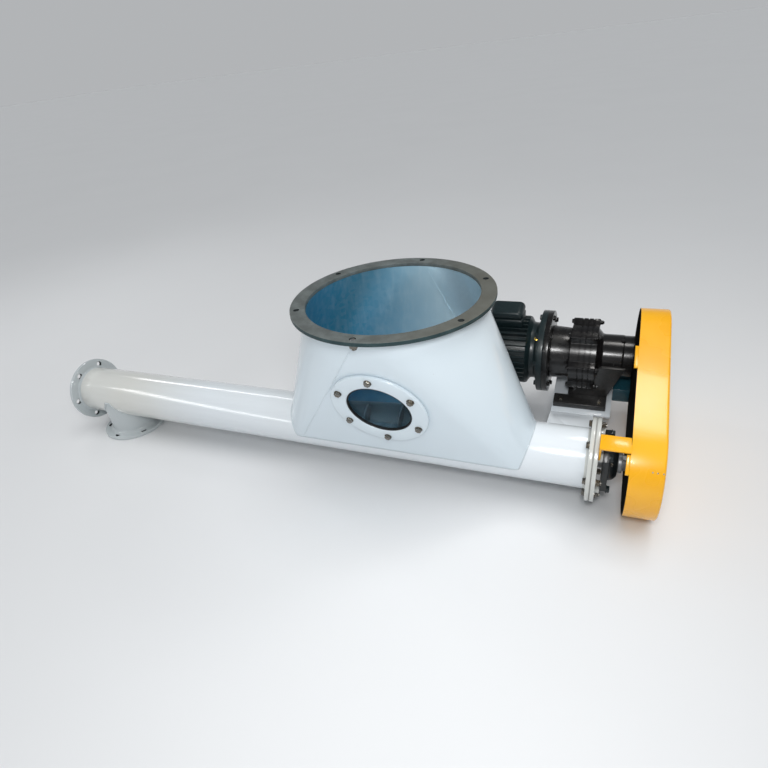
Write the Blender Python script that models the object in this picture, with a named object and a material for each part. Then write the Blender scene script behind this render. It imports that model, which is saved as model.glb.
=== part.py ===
"""Tubular screw conveyor with a side feed hopper and a chain drive.

Metres, +X along the tube to the drive end, +Z up.
The origin lies on the top face of the hopper's rim flange, where the conveyor hangs.
"""
import math

import bmesh
import bpy
from mathutils import Vector

# Driving dimensions of the tube and its screw
TUBE_R = 0.0795
TUBE_WALL = 0.0045
FLANGE_R = 0.110
FLANGE_T = 0.010
FLANGE_HOLE_CIRCLE_R = 0.091
FLANGE_HOLE_R = 0.007
OPEN_HOLE_R = 0.009
FLANGE_HOLE_COUNT = 6
FEED_SLOT_HALF_LENGTH = 0.342
FEED_SLOT_HALF_WIDTH = 0.066
DROP_HOLE_R = 0.068
SHAFT_PIPE_R = 0.030
SHAFT_STUB_R = 0.020
FLIGHT_R = 0.070
FLIGHT_T = 0.004
FLIGHT_PITCH = 0.100
FLIGHT_STEPS_PER_TURN = 16
FLIGHT_SEAM_ANGLE = 0.006
# Each section of the flight: its name, and the first and last turn that it spans
FLIGHT_SECTIONS = (
    ("screw_flight_in_tube", 0, 8),
    ("screw_flight_feed_left", 8, 12),
    ("screw_flight_feed_right", 12, 16),
)

# Driving dimensions of the hopper
RIM_R = 0.260
RIM_BORE_R = 0.2215
RIM_T = 0.010
RIM_HOLE_CIRCLE_R = 0.243
RIM_HOLE_COUNT = 6
HOPPER_WALL = 0.004
HOPPER_HEIGHT = 0.437
HOPPER_FOOT_HALF_LENGTH = 0.3945
HOPPER_FOOT_HALF_WIDTH = 0.0825
HOPPER_SKIRT = 0.005

# Places along the tube, all from the hopper's axis
RIM_MIDDLE_R = 0.5 * (RIM_R + RIM_BORE_R)
HOPPER_X = RIM_MIDDLE_R
TUBE_Z = -HOPPER_HEIGHT
OUTLET_X = HOPPER_X - 1.257
DRIVE_END_X = HOPPER_X + 0.511
SPOUT_X = HOPPER_X - 1.120
SPOUT_DROP = 0.141
SHAFT_TAIL_X = HOPPER_X - 1.217
FLIGHT_START_X = HOPPER_X - 1.150
BEARING_X = HOPPER_X + 0.535
GUARD_X = HOPPER_X + 0.593
GUARD_DEPTH = 0.078
PLATFORM_END_X = HOPPER_X + 0.545
CHAIN_X = HOPPER_X + 0.633
STUB_END_X = HOPPER_X + 0.656

# Sight glass on the hopper's flat front
GLASS_X = HOPPER_X - 0.008
GLASS_UP_SLOPE = 0.201
GLASS_FRAME_R = 0.132
GLASS_WINDOW_R = 0.088
GLASS_PANE_R = 0.0995
GLASS_FRAME_T = 0.010
GLASS_PANE_T = 0.0034

# Bearing on the drive end's plate
GASKET_T = 0.002
END_PLATE_BORE_R = 0.0255
BOSS_R = 0.014
BEARING_BOLT_HALF = 0.051
BEARING_HALF = 0.065
BEARING_CORNER = 0.018
BEARING_T = 0.015
BEARING_BORE_R = 0.0208

# Drive, which lies beside the tube on a line that rises from the tube's axis
DRIVE_RISE = math.radians(16.0)
SPROCKET_DISTANCE = 0.381
REDUCER_HEIGHT = 0.130
MOTOR_FLANGE_R = 0.125
MOTOR_BODY_R = 0.105
FIN_DEPTH = 0.014
FIN_COUNT = 36
POINTS_PER_FIN = 4
REDUCER_SHAFT_R = 0.0225
BOX_NEAR = SPROCKET_DISTANCE - 0.010
BOX_FAR = SPROCKET_DISTANCE + 0.052
BOX_LOW = 0.085
BOX_SEAM = 0.126
BOX_LID_TOP = 0.154
BOX_CORNER_R = 0.017
INPUT_HOUSING_R = 0.080
OUTPUT_HOUSING_R = 0.064
LOBE_R = 0.107
LOBE_ROOT_R = 0.0885
LOBE_COUNT = 6
POINTS_PER_LOBE = 6
CHAIN_PITCH = 0.0254
SPROCKET_TEETH = 20
SPROCKET_T = 0.015
GUARD_LOW_R = 0.131
GUARD_HIGH_R = 0.145
GUARD_WALL = 0.003
EAR_REACH = 0.008
LOWER_EAR = (-0.094, -0.0563)
UPPER_EAR = (0.207, 0.285)
PLATFORM_T = 0.008
FOOT_HALF_WIDTH = 0.113
FOOT_RAIL_WIDTH = 0.040
FOOT_T = 0.020
PEDESTAL_HALF_WIDTH = 0.070

# Stations of the motor and the reducer along X
COWL_X = HOPPER_X - 0.039
BODY_X = HOPPER_X + 0.018
BOX_X = HOPPER_X + 0.173
BOX_LENGTH = 0.100
BELL_X = HOPPER_X + 0.288
MOTOR_FLANGE_X = HOPPER_X + 0.324
INPUT_FLANGE_X = HOPPER_X + 0.3415
INPUT_HOUSING_X = HOPPER_X + 0.3573
PLATFORM_X = HOPPER_X + 0.372
FOOT_X = HOPPER_X + 0.376
FLARE_X = HOPPER_X + 0.4165
PEDESTAL_X = HOPPER_X + 0.442
LOBED_RING_X = HOPPER_X + 0.407
OUTPUT_HOUSING_X = HOPPER_X + 0.4988
FOOT_END_X = HOPPER_X + 0.530
SHAFT_POCKET_X = HOPPER_X + 0.552
OUTPUT_END_X = HOPPER_X + 0.590

GAP = 0.0003
SEGMENTS = 40
RIM_SEGMENTS = 48
SMALL_SEGMENTS = 32
DRILL_SEGMENTS = 12

DRIVE_AXIS = Vector((0.0, math.cos(DRIVE_RISE), math.sin(DRIVE_RISE)))
DRIVE_UP = Vector((0.0, -math.sin(DRIVE_RISE), math.cos(DRIVE_RISE)))
SCREW_CENTRE = Vector((0.0, 0.0, TUBE_Z))
REDUCER_CENTRE = SCREW_CENTRE + SPROCKET_DISTANCE * DRIVE_AXIS

COLOURS = {
    "white_paint": ((0.78, 0.81, 0.83), 0.30, 0.0),
    "hopper_paint": ((0.74, 0.80, 0.84), 0.32, 0.0),
    "rim_steel": ((0.33, 0.36, 0.35), 0.45, 0.8),
    "sight_glass": ((0.05, 0.10, 0.13), 0.08, 0.0),
    "screw_steel": ((0.45, 0.46, 0.46), 0.35, 0.9),
    "motor_green": ((0.03, 0.06, 0.06), 0.45, 0.0),
    "cast_black": ((0.02, 0.02, 0.02), 0.42, 0.0),
    "guard_yellow": ((0.90, 0.56, 0.05), 0.32, 0.0),
    "chain_steel": ((0.20, 0.19, 0.18), 0.40, 0.9),
    "block_teal": ((0.03, 0.11, 0.13), 0.40, 0.0),
    "gasket_grey": ((0.28, 0.29, 0.28), 0.70, 0.0),
}


def clear_scene():
    for item in list(bpy.data.objects):
        bpy.data.objects.remove(item, do_unlink=True)


def material(name):
    found = bpy.data.materials.get(name)
    if found:
        return found
    colour, roughness, metallic = COLOURS[name]
    made = bpy.data.materials.new(name)
    made.use_nodes = True
    shader = made.node_tree.nodes["Principled BSDF"]
    shader.inputs["Base Color"].default_value = (*colour, 1.0)
    shader.inputs["Roughness"].default_value = roughness
    shader.inputs["Metallic"].default_value = metallic
    made.diffuse_color = (*colour, 1.0)
    return made


def link_mesh(name, bm, finish=None, smooth_angle=30.0):
    """Turns a bmesh into a named object with faces out, and frees the bmesh."""
    bmesh.ops.recalc_face_normals(bm, faces=bm.faces)
    mesh = bpy.data.meshes.new(name)
    bm.to_mesh(mesh)
    bm.free()
    mesh.shade_smooth()
    mesh.set_sharp_from_angle(angle=math.radians(smooth_angle))
    made = bpy.data.objects.new(name, mesh)
    bpy.context.collection.objects.link(made)
    if finish:
        mesh.materials.append(material(finish))
    return made


def cutter(name, bm):
    made = link_mesh(name, bm)
    made.hide_render = True
    made.display_type = "WIRE"
    return made


def cut(target, tool):
    step = target.modifiers.new("cut_" + tool.name, "BOOLEAN")
    step.operation = "DIFFERENCE"
    step.solver = "EXACT"
    step.object = tool


def join(target, tool):
    step = target.modifiers.new("join_" + tool.name, "BOOLEAN")
    step.operation = "UNION"
    step.solver = "EXACT"
    step.object = tool


def loop_faces(bm, rings):
    """Skins closed rings of vertices that follow each other, the last joined to the first."""
    count = len(rings[0])
    for first, second in zip(rings, rings[1:] + rings[:1]):
        for i in range(count):
            j = (i + 1) % count
            bm.faces.new((first[i], first[j], second[j], second[i]))


def skin(bm, rings):
    """Skins rings in order and caps the two ends."""
    count = len(rings[0])
    for first, second in zip(rings, rings[1:]):
        for i in range(count):
            j = (i + 1) % count
            bm.faces.new((first[i], first[j], second[j], second[i]))
    bm.faces.new(rings[0][::-1])
    bm.faces.new(rings[-1])


def circle_points(centre, radius, u, v, count=SEGMENTS):
    points = []
    for i in range(count):
        a = 2.0 * math.pi * i / count
        points.append(centre + radius * (math.cos(a) * u + math.sin(a) * v))
    return points


def add_turned(bm, profile, centre, axis=Vector((1, 0, 0)), up=Vector((0, 0, 1)), count=SEGMENTS):
    """Turns (along, radius) pairs about an axis through centre. Solid, so the ends are capped."""
    side = axis.cross(up)
    rings = []
    for along, radius in profile:
        middle = centre + along * axis
        rings.append([bm.verts.new(p) for p in circle_points(middle, radius, up, side, count)])
    skin(bm, rings)


def add_ring(bm, profile, centre, axis=Vector((1, 0, 0)), up=Vector((0, 0, 1)), count=SEGMENTS):
    """Turns a closed loop of (along, radius) pairs about an axis: a body with a bore."""
    side = axis.cross(up)
    rings = []
    for along, radius in profile:
        middle = centre + along * axis
        rings.append([bm.verts.new(p) for p in circle_points(middle, radius, up, side, count)])
    loop_faces(bm, rings)


def add_prism(bm, outline, push):
    """Pushes a flat outline of points along a vector."""
    first = [bm.verts.new(p) for p in outline]
    second = [bm.verts.new(p + push) for p in outline]
    skin(bm, [first, second])


def turned(name, finish, profile, centre, count=SEGMENTS, **directions):
    bm = bmesh.new()
    add_turned(bm, profile, centre, count=count, **directions)
    return link_mesh(name, bm, finish)


def ring(name, finish, profile, centre, count=SEGMENTS, **directions):
    bm = bmesh.new()
    add_ring(bm, profile, centre, count=count, **directions)
    return link_mesh(name, bm, finish)


def prism(name, finish, outline, push):
    bm = bmesh.new()
    add_prism(bm, outline, push)
    return link_mesh(name, bm, finish)


def tube_loop(start, end, inner, outer):
    return [(start, inner), (start, outer), (end, outer), (end, inner)]


def hole_pattern(name, centre, axis, up, circle_r, hole_r, count, depth):
    """One cutter that holds a circle of round drills."""
    side = axis.cross(up)
    bm = bmesh.new()
    for i in range(count):
        a = 2.0 * math.pi * i / count
        middle = centre + circle_r * (math.cos(a) * side + math.sin(a) * up)
        drill = [(-depth, hole_r), (depth, hole_r)]
        add_turned(bm, drill, middle, axis=axis, up=up, count=DRILL_SEGMENTS)
    return cutter(name, bm)


def obround(low_r, high_r, distance, steps, centre=SCREW_CENTRE):
    """Outline in the YZ plane round two circles, one on the screw and one on the reducer."""
    lean = math.asin((high_r - low_r) / distance)
    points = []
    for i in range(steps + 1):
        a = -math.pi / 2 - lean + (math.pi + 2 * lean) * i / steps
        out = math.cos(a) * DRIVE_AXIS + math.sin(a) * DRIVE_UP
        points.append(centre + distance * DRIVE_AXIS + high_r * out)
    for i in range(steps + 1):
        a = math.pi / 2 + lean + (math.pi - 2 * lean) * i / steps
        out = math.cos(a) * DRIVE_AXIS + math.sin(a) * DRIVE_UP
        points.append(centre + low_r * out)
    return points


def shift_x(points, x):
    return [Vector((x, p.y, p.z)) for p in points]


def drive_point(x, along, up):
    """A point given by X, the way from the screw to the reducer, and the way up from it."""
    return Vector((x, 0, TUBE_Z)) + along * DRIVE_AXIS + up * DRIVE_UP


def drive_box(name, finish, x_range, along_range, up_range):
    (x0, x1), (s0, s1), (u0, u1) = x_range, along_range, up_range
    corners = [drive_point(x0, s0, u0), drive_point(x0, s1, u0)]
    corners += [drive_point(x0, s1, u1), drive_point(x0, s0, u1)]
    return prism(name, finish, corners, Vector((x1 - x0, 0, 0)))


def build_tube():
    centre = SCREW_CENTRE
    loop = tube_loop(OUTLET_X, DRIVE_END_X, TUBE_R - TUBE_WALL, TUBE_R)
    tube = ring("conveyor_tube", "white_paint", loop, centre)
    feed = bmesh.new()
    straight = FEED_SLOT_HALF_LENGTH - FEED_SLOT_HALF_WIDTH
    cut_low = TUBE_Z + 0.012
    outline = []
    for side in (1, -1):
        for i in range(13):
            a = math.radians(-90 + 15 * i)
            x = HOPPER_X + side * (straight + FEED_SLOT_HALF_WIDTH * math.cos(a))
            outline.append(Vector((x, side * FEED_SLOT_HALF_WIDTH * math.sin(a), cut_low)))
    add_prism(feed, outline, Vector((0, 0, 1.5 * TUBE_R)))
    cut(tube, cutter("cut_feed_slot", feed))
    drop = bmesh.new()
    through = [(0.25 * TUBE_R, DROP_HOLE_R), (1.5 * TUBE_R, DROP_HOLE_R)]
    add_turned(drop, through, Vector((SPOUT_X, 0, TUBE_Z)), axis=Vector((0, 0, -1)),
               up=Vector((1, 0, 0)), count=SMALL_SEGMENTS)
    cut(tube, cutter("cut_drop_hole", drop))


def build_pipe_flange(name, x, direction, hole_r):
    """A flat ring on the tube's end, with bolt holes."""
    loop = tube_loop(0, direction * FLANGE_T, TUBE_R + GAP, FLANGE_R)
    flange = ring(name, "white_paint", loop, Vector((x, 0, TUBE_Z)))
    drills = hole_pattern("cut_" + name, Vector((x, 0, TUBE_Z)), Vector((1, 0, 0)), Vector((0, 0, 1)),
                          FLANGE_HOLE_CIRCLE_R, hole_r, FLANGE_HOLE_COUNT, 2 * FLANGE_T)
    cut(flange, drills)


def build_spout():
    down = Vector((0, 0, -1))
    centre = Vector((SPOUT_X, 0, TUBE_Z))
    loop = tube_loop(0.0, SPOUT_DROP - FLANGE_T - GAP, TUBE_R - TUBE_WALL, TUBE_R)
    spout = ring("discharge_spout", "white_paint", loop, centre, axis=down, up=Vector((1, 0, 0)))
    saddle = bmesh.new()
    reach = 2 * TUBE_R
    add_turned(saddle, [(-reach, TUBE_R + GAP), (reach, TUBE_R + GAP)], centre)
    cut(spout, cutter("cut_spout_saddle", saddle))
    loop = tube_loop(SPOUT_DROP - FLANGE_T, SPOUT_DROP, TUBE_R - TUBE_WALL, FLANGE_R)
    flange = ring("spout_flange", "white_paint", loop, centre, axis=down, up=Vector((1, 0, 0)))
    drills = hole_pattern("cut_spout_flange", centre + SPOUT_DROP * down, down, Vector((1, 0, 0)),
                          FLANGE_HOLE_CIRCLE_R, OPEN_HOLE_R, FLANGE_HOLE_COUNT, 2 * FLANGE_T)
    cut(flange, drills)


def hopper_loops(shrink, steps):
    """Foot and rim outlines of the hopper, point for point. shrink moves the wall inwards."""
    foot_r = HOPPER_FOOT_HALF_WIDTH - shrink
    foot_reach = HOPPER_FOOT_HALF_LENGTH - HOPPER_FOOT_HALF_WIDTH
    rim_r = RIM_BORE_R + HOPPER_WALL - shrink
    foot_z = TUBE_Z - HOPPER_SKIRT
    rim_z = -RIM_T - GAP
    foot, rim = [], []
    for side in (1, -1):
        for i in range(steps + 1):
            a = math.radians(-90 + 180 * i / steps)
            c, s = math.cos(a), math.sin(a)
            foot.append(Vector((HOPPER_X + side * (foot_reach + foot_r * c), side * foot_r * s, foot_z)))
            rim.append(Vector((HOPPER_X + side * rim_r * c, side * rim_r * s, rim_z)))
    return foot, rim


def add_hopper_wall(bm, shrink, steps):
    """One skin of the hopper: its foot and rim vertices, where each flat side shares one rim vertex."""
    foot, rim = hopper_loops(shrink, steps)
    foot_verts = [bm.verts.new(p) for p in foot]
    rim_verts = []
    for i, p in enumerate(rim):
        if i == steps + 1:
            rim_verts.append(rim_verts[steps])
        elif i == 2 * steps + 1:
            rim_verts.append(rim_verts[0])
        else:
            rim_verts.append(bm.verts.new(p))
    return foot_verts, rim_verts


def build_hopper():
    steps = 16
    bm = bmesh.new()
    outer_foot, outer_rim = add_hopper_wall(bm, 0.0, steps)
    inner_foot, inner_rim = add_hopper_wall(bm, HOPPER_WALL, steps)
    count = len(outer_foot)
    for i in range(count):
        j = (i + 1) % count
        for foot, rim in ((outer_foot, outer_rim), (inner_foot, inner_rim)):
            if rim[i] is rim[j]:
                bm.faces.new((foot[i], foot[j], rim[i]))
            else:
                bm.faces.new((foot[i], foot[j], rim[j], rim[i]))
        bm.faces.new((outer_foot[i], outer_foot[j], inner_foot[j], inner_foot[i]))
        if outer_rim[i] is not outer_rim[j]:
            bm.faces.new((outer_rim[i], outer_rim[j], inner_rim[j], inner_rim[i]))
    hopper = link_mesh("hopper_body", bm, "hopper_paint")
    saddle = bmesh.new()
    reach = 1.5 * HOPPER_FOOT_HALF_LENGTH
    add_turned(saddle, [(-reach, TUBE_R + GAP), (reach, TUBE_R + GAP)], Vector((HOPPER_X, 0, TUBE_Z)))
    cut(hopper, cutter("cut_hopper_saddle", saddle))
    window = bmesh.new()
    centre, out, _ = glass_place()
    reach = 6 * HOPPER_WALL
    add_turned(window, [(-reach, GLASS_PANE_R + GAP), (reach, GLASS_PANE_R + GAP)], centre,
               axis=out, up=Vector((1, 0, 0)), count=SEGMENTS)
    cut(hopper, cutter("cut_hopper_window", window))


def glass_place():
    """Centre, outward direction and up-slope direction of the hopper's flat front."""
    foot = Vector((GLASS_X, -HOPPER_FOOT_HALF_WIDTH, TUBE_Z - HOPPER_SKIRT))
    rim = Vector((GLASS_X, -(RIM_BORE_R + HOPPER_WALL), -RIM_T - GAP))
    slope = (rim - foot).normalized()
    out = slope.cross(Vector((1, 0, 0))).normalized()
    if out.y > 0:
        out = -out
    return foot + GLASS_UP_SLOPE * slope, out, slope


def build_rim():
    loop = tube_loop(-RIM_T, 0.0, RIM_BORE_R, RIM_R)
    centre = Vector((HOPPER_X, 0, 0))
    flange = ring("hopper_rim_flange", "rim_steel", loop, centre, axis=Vector((0, 0, 1)),
                  up=Vector((1, 0, 0)), count=RIM_SEGMENTS)
    drills = hole_pattern("cut_rim", centre, Vector((0, 0, 1)), Vector((1, 0, 0)),
                          RIM_HOLE_CIRCLE_R, FLANGE_HOLE_R, RIM_HOLE_COUNT, 2 * RIM_T)
    cut(flange, drills)


def build_sight_glass():
    centre, out, _ = glass_place()
    loop = tube_loop(GAP, GAP + GLASS_FRAME_T, GLASS_WINDOW_R, GLASS_FRAME_R)
    ring("sight_glass_frame", "white_paint", loop, centre, axis=out, up=Vector((1, 0, 0)))
    pane = [(-GLASS_PANE_T, GLASS_PANE_R - GAP), (0, GLASS_PANE_R - GAP)]
    turned("sight_glass_pane", "sight_glass", pane, centre, axis=out, up=Vector((1, 0, 0)))


def build_drive_end():
    """Gasket and end plate behind the tube's drive flange, with four bosses for the bearing."""
    gasket_x = DRIVE_END_X + GAP
    loop = tube_loop(0, GASKET_T, TUBE_R - TUBE_WALL, FLANGE_R - 0.002)
    ring("end_gasket", "gasket_grey", loop, Vector((gasket_x, 0, TUBE_Z)))
    plate_x = gasket_x + GASKET_T + GAP
    loop = tube_loop(0, FLANGE_T, END_PLATE_BORE_R, FLANGE_R)
    plate = ring("drive_end_plate", "white_paint", loop, Vector((plate_x, 0, TUBE_Z)))
    bosses = bmesh.new()
    sunk_x = plate_x + 0.5 * FLANGE_T
    reach = BEARING_X - GAP - sunk_x
    for y in (-BEARING_BOLT_HALF, BEARING_BOLT_HALF):
        for z in (-BEARING_BOLT_HALF, BEARING_BOLT_HALF):
            add_turned(bosses, [(0, BOSS_R), (reach, BOSS_R)], Vector((sunk_x, y, TUBE_Z + z)), count=20)
    join(plate, cutter("join_bearing_bosses", bosses))


def build_bearing():
    """Square four-bolt flange bearing with a domed round housing."""
    half = BEARING_HALF
    short = BEARING_HALF - BEARING_CORNER
    outline = []
    for sy, sz in ((1, 1), (-1, 1), (-1, -1), (1, -1)):
        ends = [Vector((0, sy * half, sz * short)), Vector((0, sy * short, sz * half))]
        if sy * sz < 0:
            ends.reverse()
        outline += [Vector((BEARING_X, 0, TUBE_Z)) + p for p in ends]
    flange = prism("bearing_flange", "motor_green", outline, Vector((BEARING_T, 0, 0)))
    bore = bmesh.new()
    centre = Vector((BEARING_X, 0, TUBE_Z))
    add_turned(bore, [(-BEARING_T, BEARING_BORE_R), (2 * BEARING_T, BEARING_BORE_R)], centre)
    cut(flange, cutter("cut_bearing_bore", bore))
    start = BEARING_T + GAP
    loop = [(start, BEARING_BORE_R), (start, 0.050), (start + 0.012, 0.046),
            (start + 0.021, 0.036), (start + 0.021, BEARING_BORE_R)]
    ring("bearing_housing", "motor_green", loop, centre)


def build_screw():
    """Shaft of the screw, and its flight in sections."""
    step_x = DRIVE_END_X - 0.012
    profile = [(SHAFT_TAIL_X, SHAFT_PIPE_R), (step_x, SHAFT_PIPE_R), (step_x, SHAFT_STUB_R),
               (STUB_END_X, SHAFT_STUB_R)]
    turned("screw_shaft", "screw_steel", profile, SCREW_CENTRE, count=SMALL_SEGMENTS)
    for name, first_turn, last_turn in FLIGHT_SECTIONS:
        build_flight(name, first_turn, last_turn)


def build_flight(name, first_turn, last_turn):
    """One section of the flight. Neighbouring sections stop just short of their shared seam."""
    turn = 2.0 * math.pi
    steps = (last_turn - first_turn) * FLIGHT_STEPS_PER_TURN
    start = turn * first_turn + FLIGHT_SEAM_ANGLE
    sweep = turn * (last_turn - first_turn) - 2 * FLIGHT_SEAM_ANGLE
    inner = (SHAFT_PIPE_R + 2 * GAP) / math.cos(math.pi / FLIGHT_STEPS_PER_TURN)
    bm = bmesh.new()
    sections = []
    for i in range(steps + 1):
        a = start + sweep * i / steps
        x = FLIGHT_START_X + FLIGHT_PITCH * a / turn
        out = Vector((0, math.cos(a), math.sin(a)))
        section = []
        for dx, r in ((0, inner), (FLIGHT_T, inner), (FLIGHT_T, FLIGHT_R), (0, FLIGHT_R)):
            section.append(bm.verts.new(SCREW_CENTRE + Vector((x + dx, 0, 0)) + r * out))
        sections.append(section)
    skin(bm, sections)
    link_mesh(name, bm, "screw_steel")


def build_sprocket(name, centre, bore_r):
    """Plate wheel and hub. The teeth's tips reach into the chain's rollers, drawn here as a disc."""
    half = 0.5 * SPROCKET_T
    disc_r = chain_circle_r() - 0.0032
    hub_r = 0.040
    hub_x = CHAIN_X - 0.030
    bore = bore_r + GAP
    loop = [(hub_x, bore), (hub_x, hub_r), (CHAIN_X - half, hub_r),
            (CHAIN_X - half, disc_r), (CHAIN_X + half, disc_r), (CHAIN_X + half, bore)]
    ring(name, "chain_steel", loop, Vector((0, centre.y, centre.z)))


def chain_circle_r():
    return 0.5 * CHAIN_PITCH / math.sin(math.pi / SPROCKET_TEETH)


def build_chain():
    """The chain as one fixed loop: a channel open to the inside, which the wheel discs run in."""
    middle = chain_circle_r()
    slot_half = 0.5 * SPROCKET_T + 0.002
    out_half = 0.013
    plate_half = 0.0120
    web = 0.0012
    section = [(-out_half, plate_half), (out_half, plate_half), (out_half, -plate_half)]
    section += [(slot_half, -plate_half), (slot_half, -web), (-slot_half, -web)]
    section += [(-slot_half, -plate_half), (-out_half, -plate_half)]
    bm = bmesh.new()
    rings = []
    for dx, dr in section:
        outline = obround(middle + dr, middle + dr, SPROCKET_DISTANCE, 14)
        rings.append([bm.verts.new(p) for p in shift_x(outline, CHAIN_X + dx)])
    loop_faces(bm, rings)
    link_mesh("drive_chain", bm, "chain_steel")


def build_guard():
    steps = 20
    outer = obround(GUARD_LOW_R, GUARD_HIGH_R, SPROCKET_DISTANCE, steps)
    inner = obround(GUARD_LOW_R - GUARD_WALL, GUARD_HIGH_R - GUARD_WALL, SPROCKET_DISTANCE, steps)
    end_x = GUARD_X + GUARD_DEPTH - GUARD_WALL - GAP
    bm = bmesh.new()
    rings = []
    for outline, x in ((inner, GUARD_X), (outer, GUARD_X), (outer, end_x), (inner, end_x)):
        rings.append([bm.verts.new(p) for p in shift_x(outline, x)])
    loop_faces(bm, rings)
    link_mesh("guard_rim", bm, "guard_yellow")
    prism("guard_face_plate", "guard_yellow", shift_x(outer, end_x + GAP), Vector((GUARD_WALL, 0, 0)))
    build_guard_ear("guard_lower_ear", *LOWER_EAR)
    build_guard_ear("guard_upper_ear", *UPPER_EAR)


def guard_wall_height(along, low_r):
    """How far the guard's wall reaches up from the line between the two shafts."""
    lean = math.asin((GUARD_HIGH_R - GUARD_LOW_R) / SPROCKET_DISTANCE)
    if along < -low_r * math.sin(lean):
        return math.sqrt(low_r ** 2 - along ** 2)
    return (low_r + along * math.sin(lean)) / math.cos(lean)


def build_guard_ear(name, start, end):
    """A short tab of the guard's upper wall that stands out from its open back."""
    steps = 6
    places = [start + (end - start) * i / steps for i in range(steps + 1)]
    x = GUARD_X - EAR_REACH
    outline = [drive_point(x, a, guard_wall_height(a, GUARD_LOW_R)) for a in places]
    outline += [drive_point(x, a, guard_wall_height(a, GUARD_LOW_R - GUARD_WALL)) for a in reversed(places)]
    prism(name, "guard_yellow", outline, Vector((EAR_REACH - GAP, 0, 0)))


def build_guard_arm():
    """Bent flat bar from the end plate to the back edge of the guard's rim."""
    foot_x = DRIVE_END_X + GASKET_T + FLANGE_T + 3 * GAP
    thickness = 0.005
    low = 0.078
    half = 0.022
    middle = -0.034
    top = guard_wall_height(middle, GUARD_LOW_R) - GAP
    tip_x = GUARD_X - GAP
    profile = [(foot_x, low), (foot_x + thickness, low), (foot_x + thickness, top - thickness),
               (tip_x, top - thickness), (tip_x, top), (foot_x, top)]
    outline = [drive_point(x, middle - half, up) for x, up in profile]
    prism("guard_arm", "guard_yellow", outline, 2 * half * DRIVE_AXIS)


def build_platform():
    """Platform for the reducer, on a sloping plate from the tube's back with two ribs under it."""
    top = -REDUCER_HEIGHT - GAP
    under = top - PLATFORM_T
    x0, x1 = PLATFORM_X, PLATFORM_END_X
    near, far = 0.250, 0.512
    drive_box("drive_platform", "white_paint", (x0, x1), (near, far), (under, top))
    edge = drive_point(x0, near - GAP, top)
    low = drive_point(x0, near - GAP, under)
    tube_top = Vector((x0, TUBE_R + GAP, TUBE_Z - 0.008))
    tube_low = tube_top - Vector((0, 0, PLATFORM_T))
    web_end_x = DRIVE_END_X - FLANGE_T - 0.002
    prism("platform_web", "white_paint", [tube_top, edge, low, tube_low], Vector((web_end_x - x0, 0, 0)))
    seam = Vector((0, 0, 2 * GAP))
    web_under = tube_low - seam
    low_under = low - seam
    far_under = drive_point(x0, far - 0.04, under - 2 * GAP)
    tube_side = Vector((x0, 0.066, TUBE_Z - 0.052))
    rib = [web_under, low_under, far_under, drive_point(x0, near + 0.02, top - 0.05), tube_side]
    for name, x in (("platform_rib_left", x0 + 0.012), ("platform_rib_right", x0 + 0.105)):
        prism(name, "white_paint", shift_x(rib, x), Vector((PLATFORM_T, 0, 0)))


def build_reducer():
    """Reducer of stacked round housings. Its output shaft sits in a blind pocket."""
    centre = Vector((0, REDUCER_CENTRE.y, REDUCER_CENTRE.z))
    disc = [(INPUT_FLANGE_X, MOTOR_FLANGE_R), (INPUT_HOUSING_X - GAP, MOTOR_FLANGE_R)]
    turned("reducer_input_flange", "cast_black", disc, centre, up=DRIVE_UP)
    cone = [(INPUT_HOUSING_X, INPUT_HOUSING_R), (LOBED_RING_X - GAP, INPUT_HOUSING_R - 0.004)]
    turned("reducer_input_housing", "cast_black", cone, centre, up=DRIVE_UP)
    build_lobed_ring(LOBED_RING_X, OUTPUT_HOUSING_X - GAP, centre)
    pocket_r = REDUCER_SHAFT_R + 0.0009
    profile = [(OUTPUT_HOUSING_X, OUTPUT_HOUSING_R), (OUTPUT_END_X, OUTPUT_HOUSING_R),
               (OUTPUT_END_X, pocket_r), (SHAFT_POCKET_X, pocket_r)]
    turned("reducer_output_housing", "cast_black", profile, centre, up=DRIVE_UP)
    shaft = [(SHAFT_POCKET_X + GAP, REDUCER_SHAFT_R), (STUB_END_X, REDUCER_SHAFT_R)]
    turned("reducer_output_shaft", "screw_steel", shaft, centre, count=SMALL_SEGMENTS, up=DRIVE_UP)
    build_reducer_foot(centre)


def lobed_outline(count, per_lobe, high, low):
    """Angles and radii of a circle with evenly spaced raised parts, two points wide."""
    outline = []
    for i in range(count * per_lobe):
        a = 2.0 * math.pi * (i + 0.5) / (count * per_lobe)
        outline.append((a, high if i % per_lobe in (0, per_lobe - 1) else low))
    return outline


def build_lobed_ring(start, end, centre):
    """Middle housing of the reducer, with six bolt lobes from end to end, none of them straight up."""
    half_turn_of_lobes = math.pi / LOBE_COUNT
    outline = []
    for a, radius in lobed_outline(LOBE_COUNT, POINTS_PER_LOBE, LOBE_R, LOBE_ROOT_R):
        a += half_turn_of_lobes
        outline.append(centre + Vector((start, radius * math.sin(a), radius * math.cos(a))))
    bm = bmesh.new()
    add_prism(bm, outline, Vector((end - start, 0, 0)))
    link_mesh("reducer_ring_housing", bm, "cast_black", smooth_angle=20)


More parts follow.
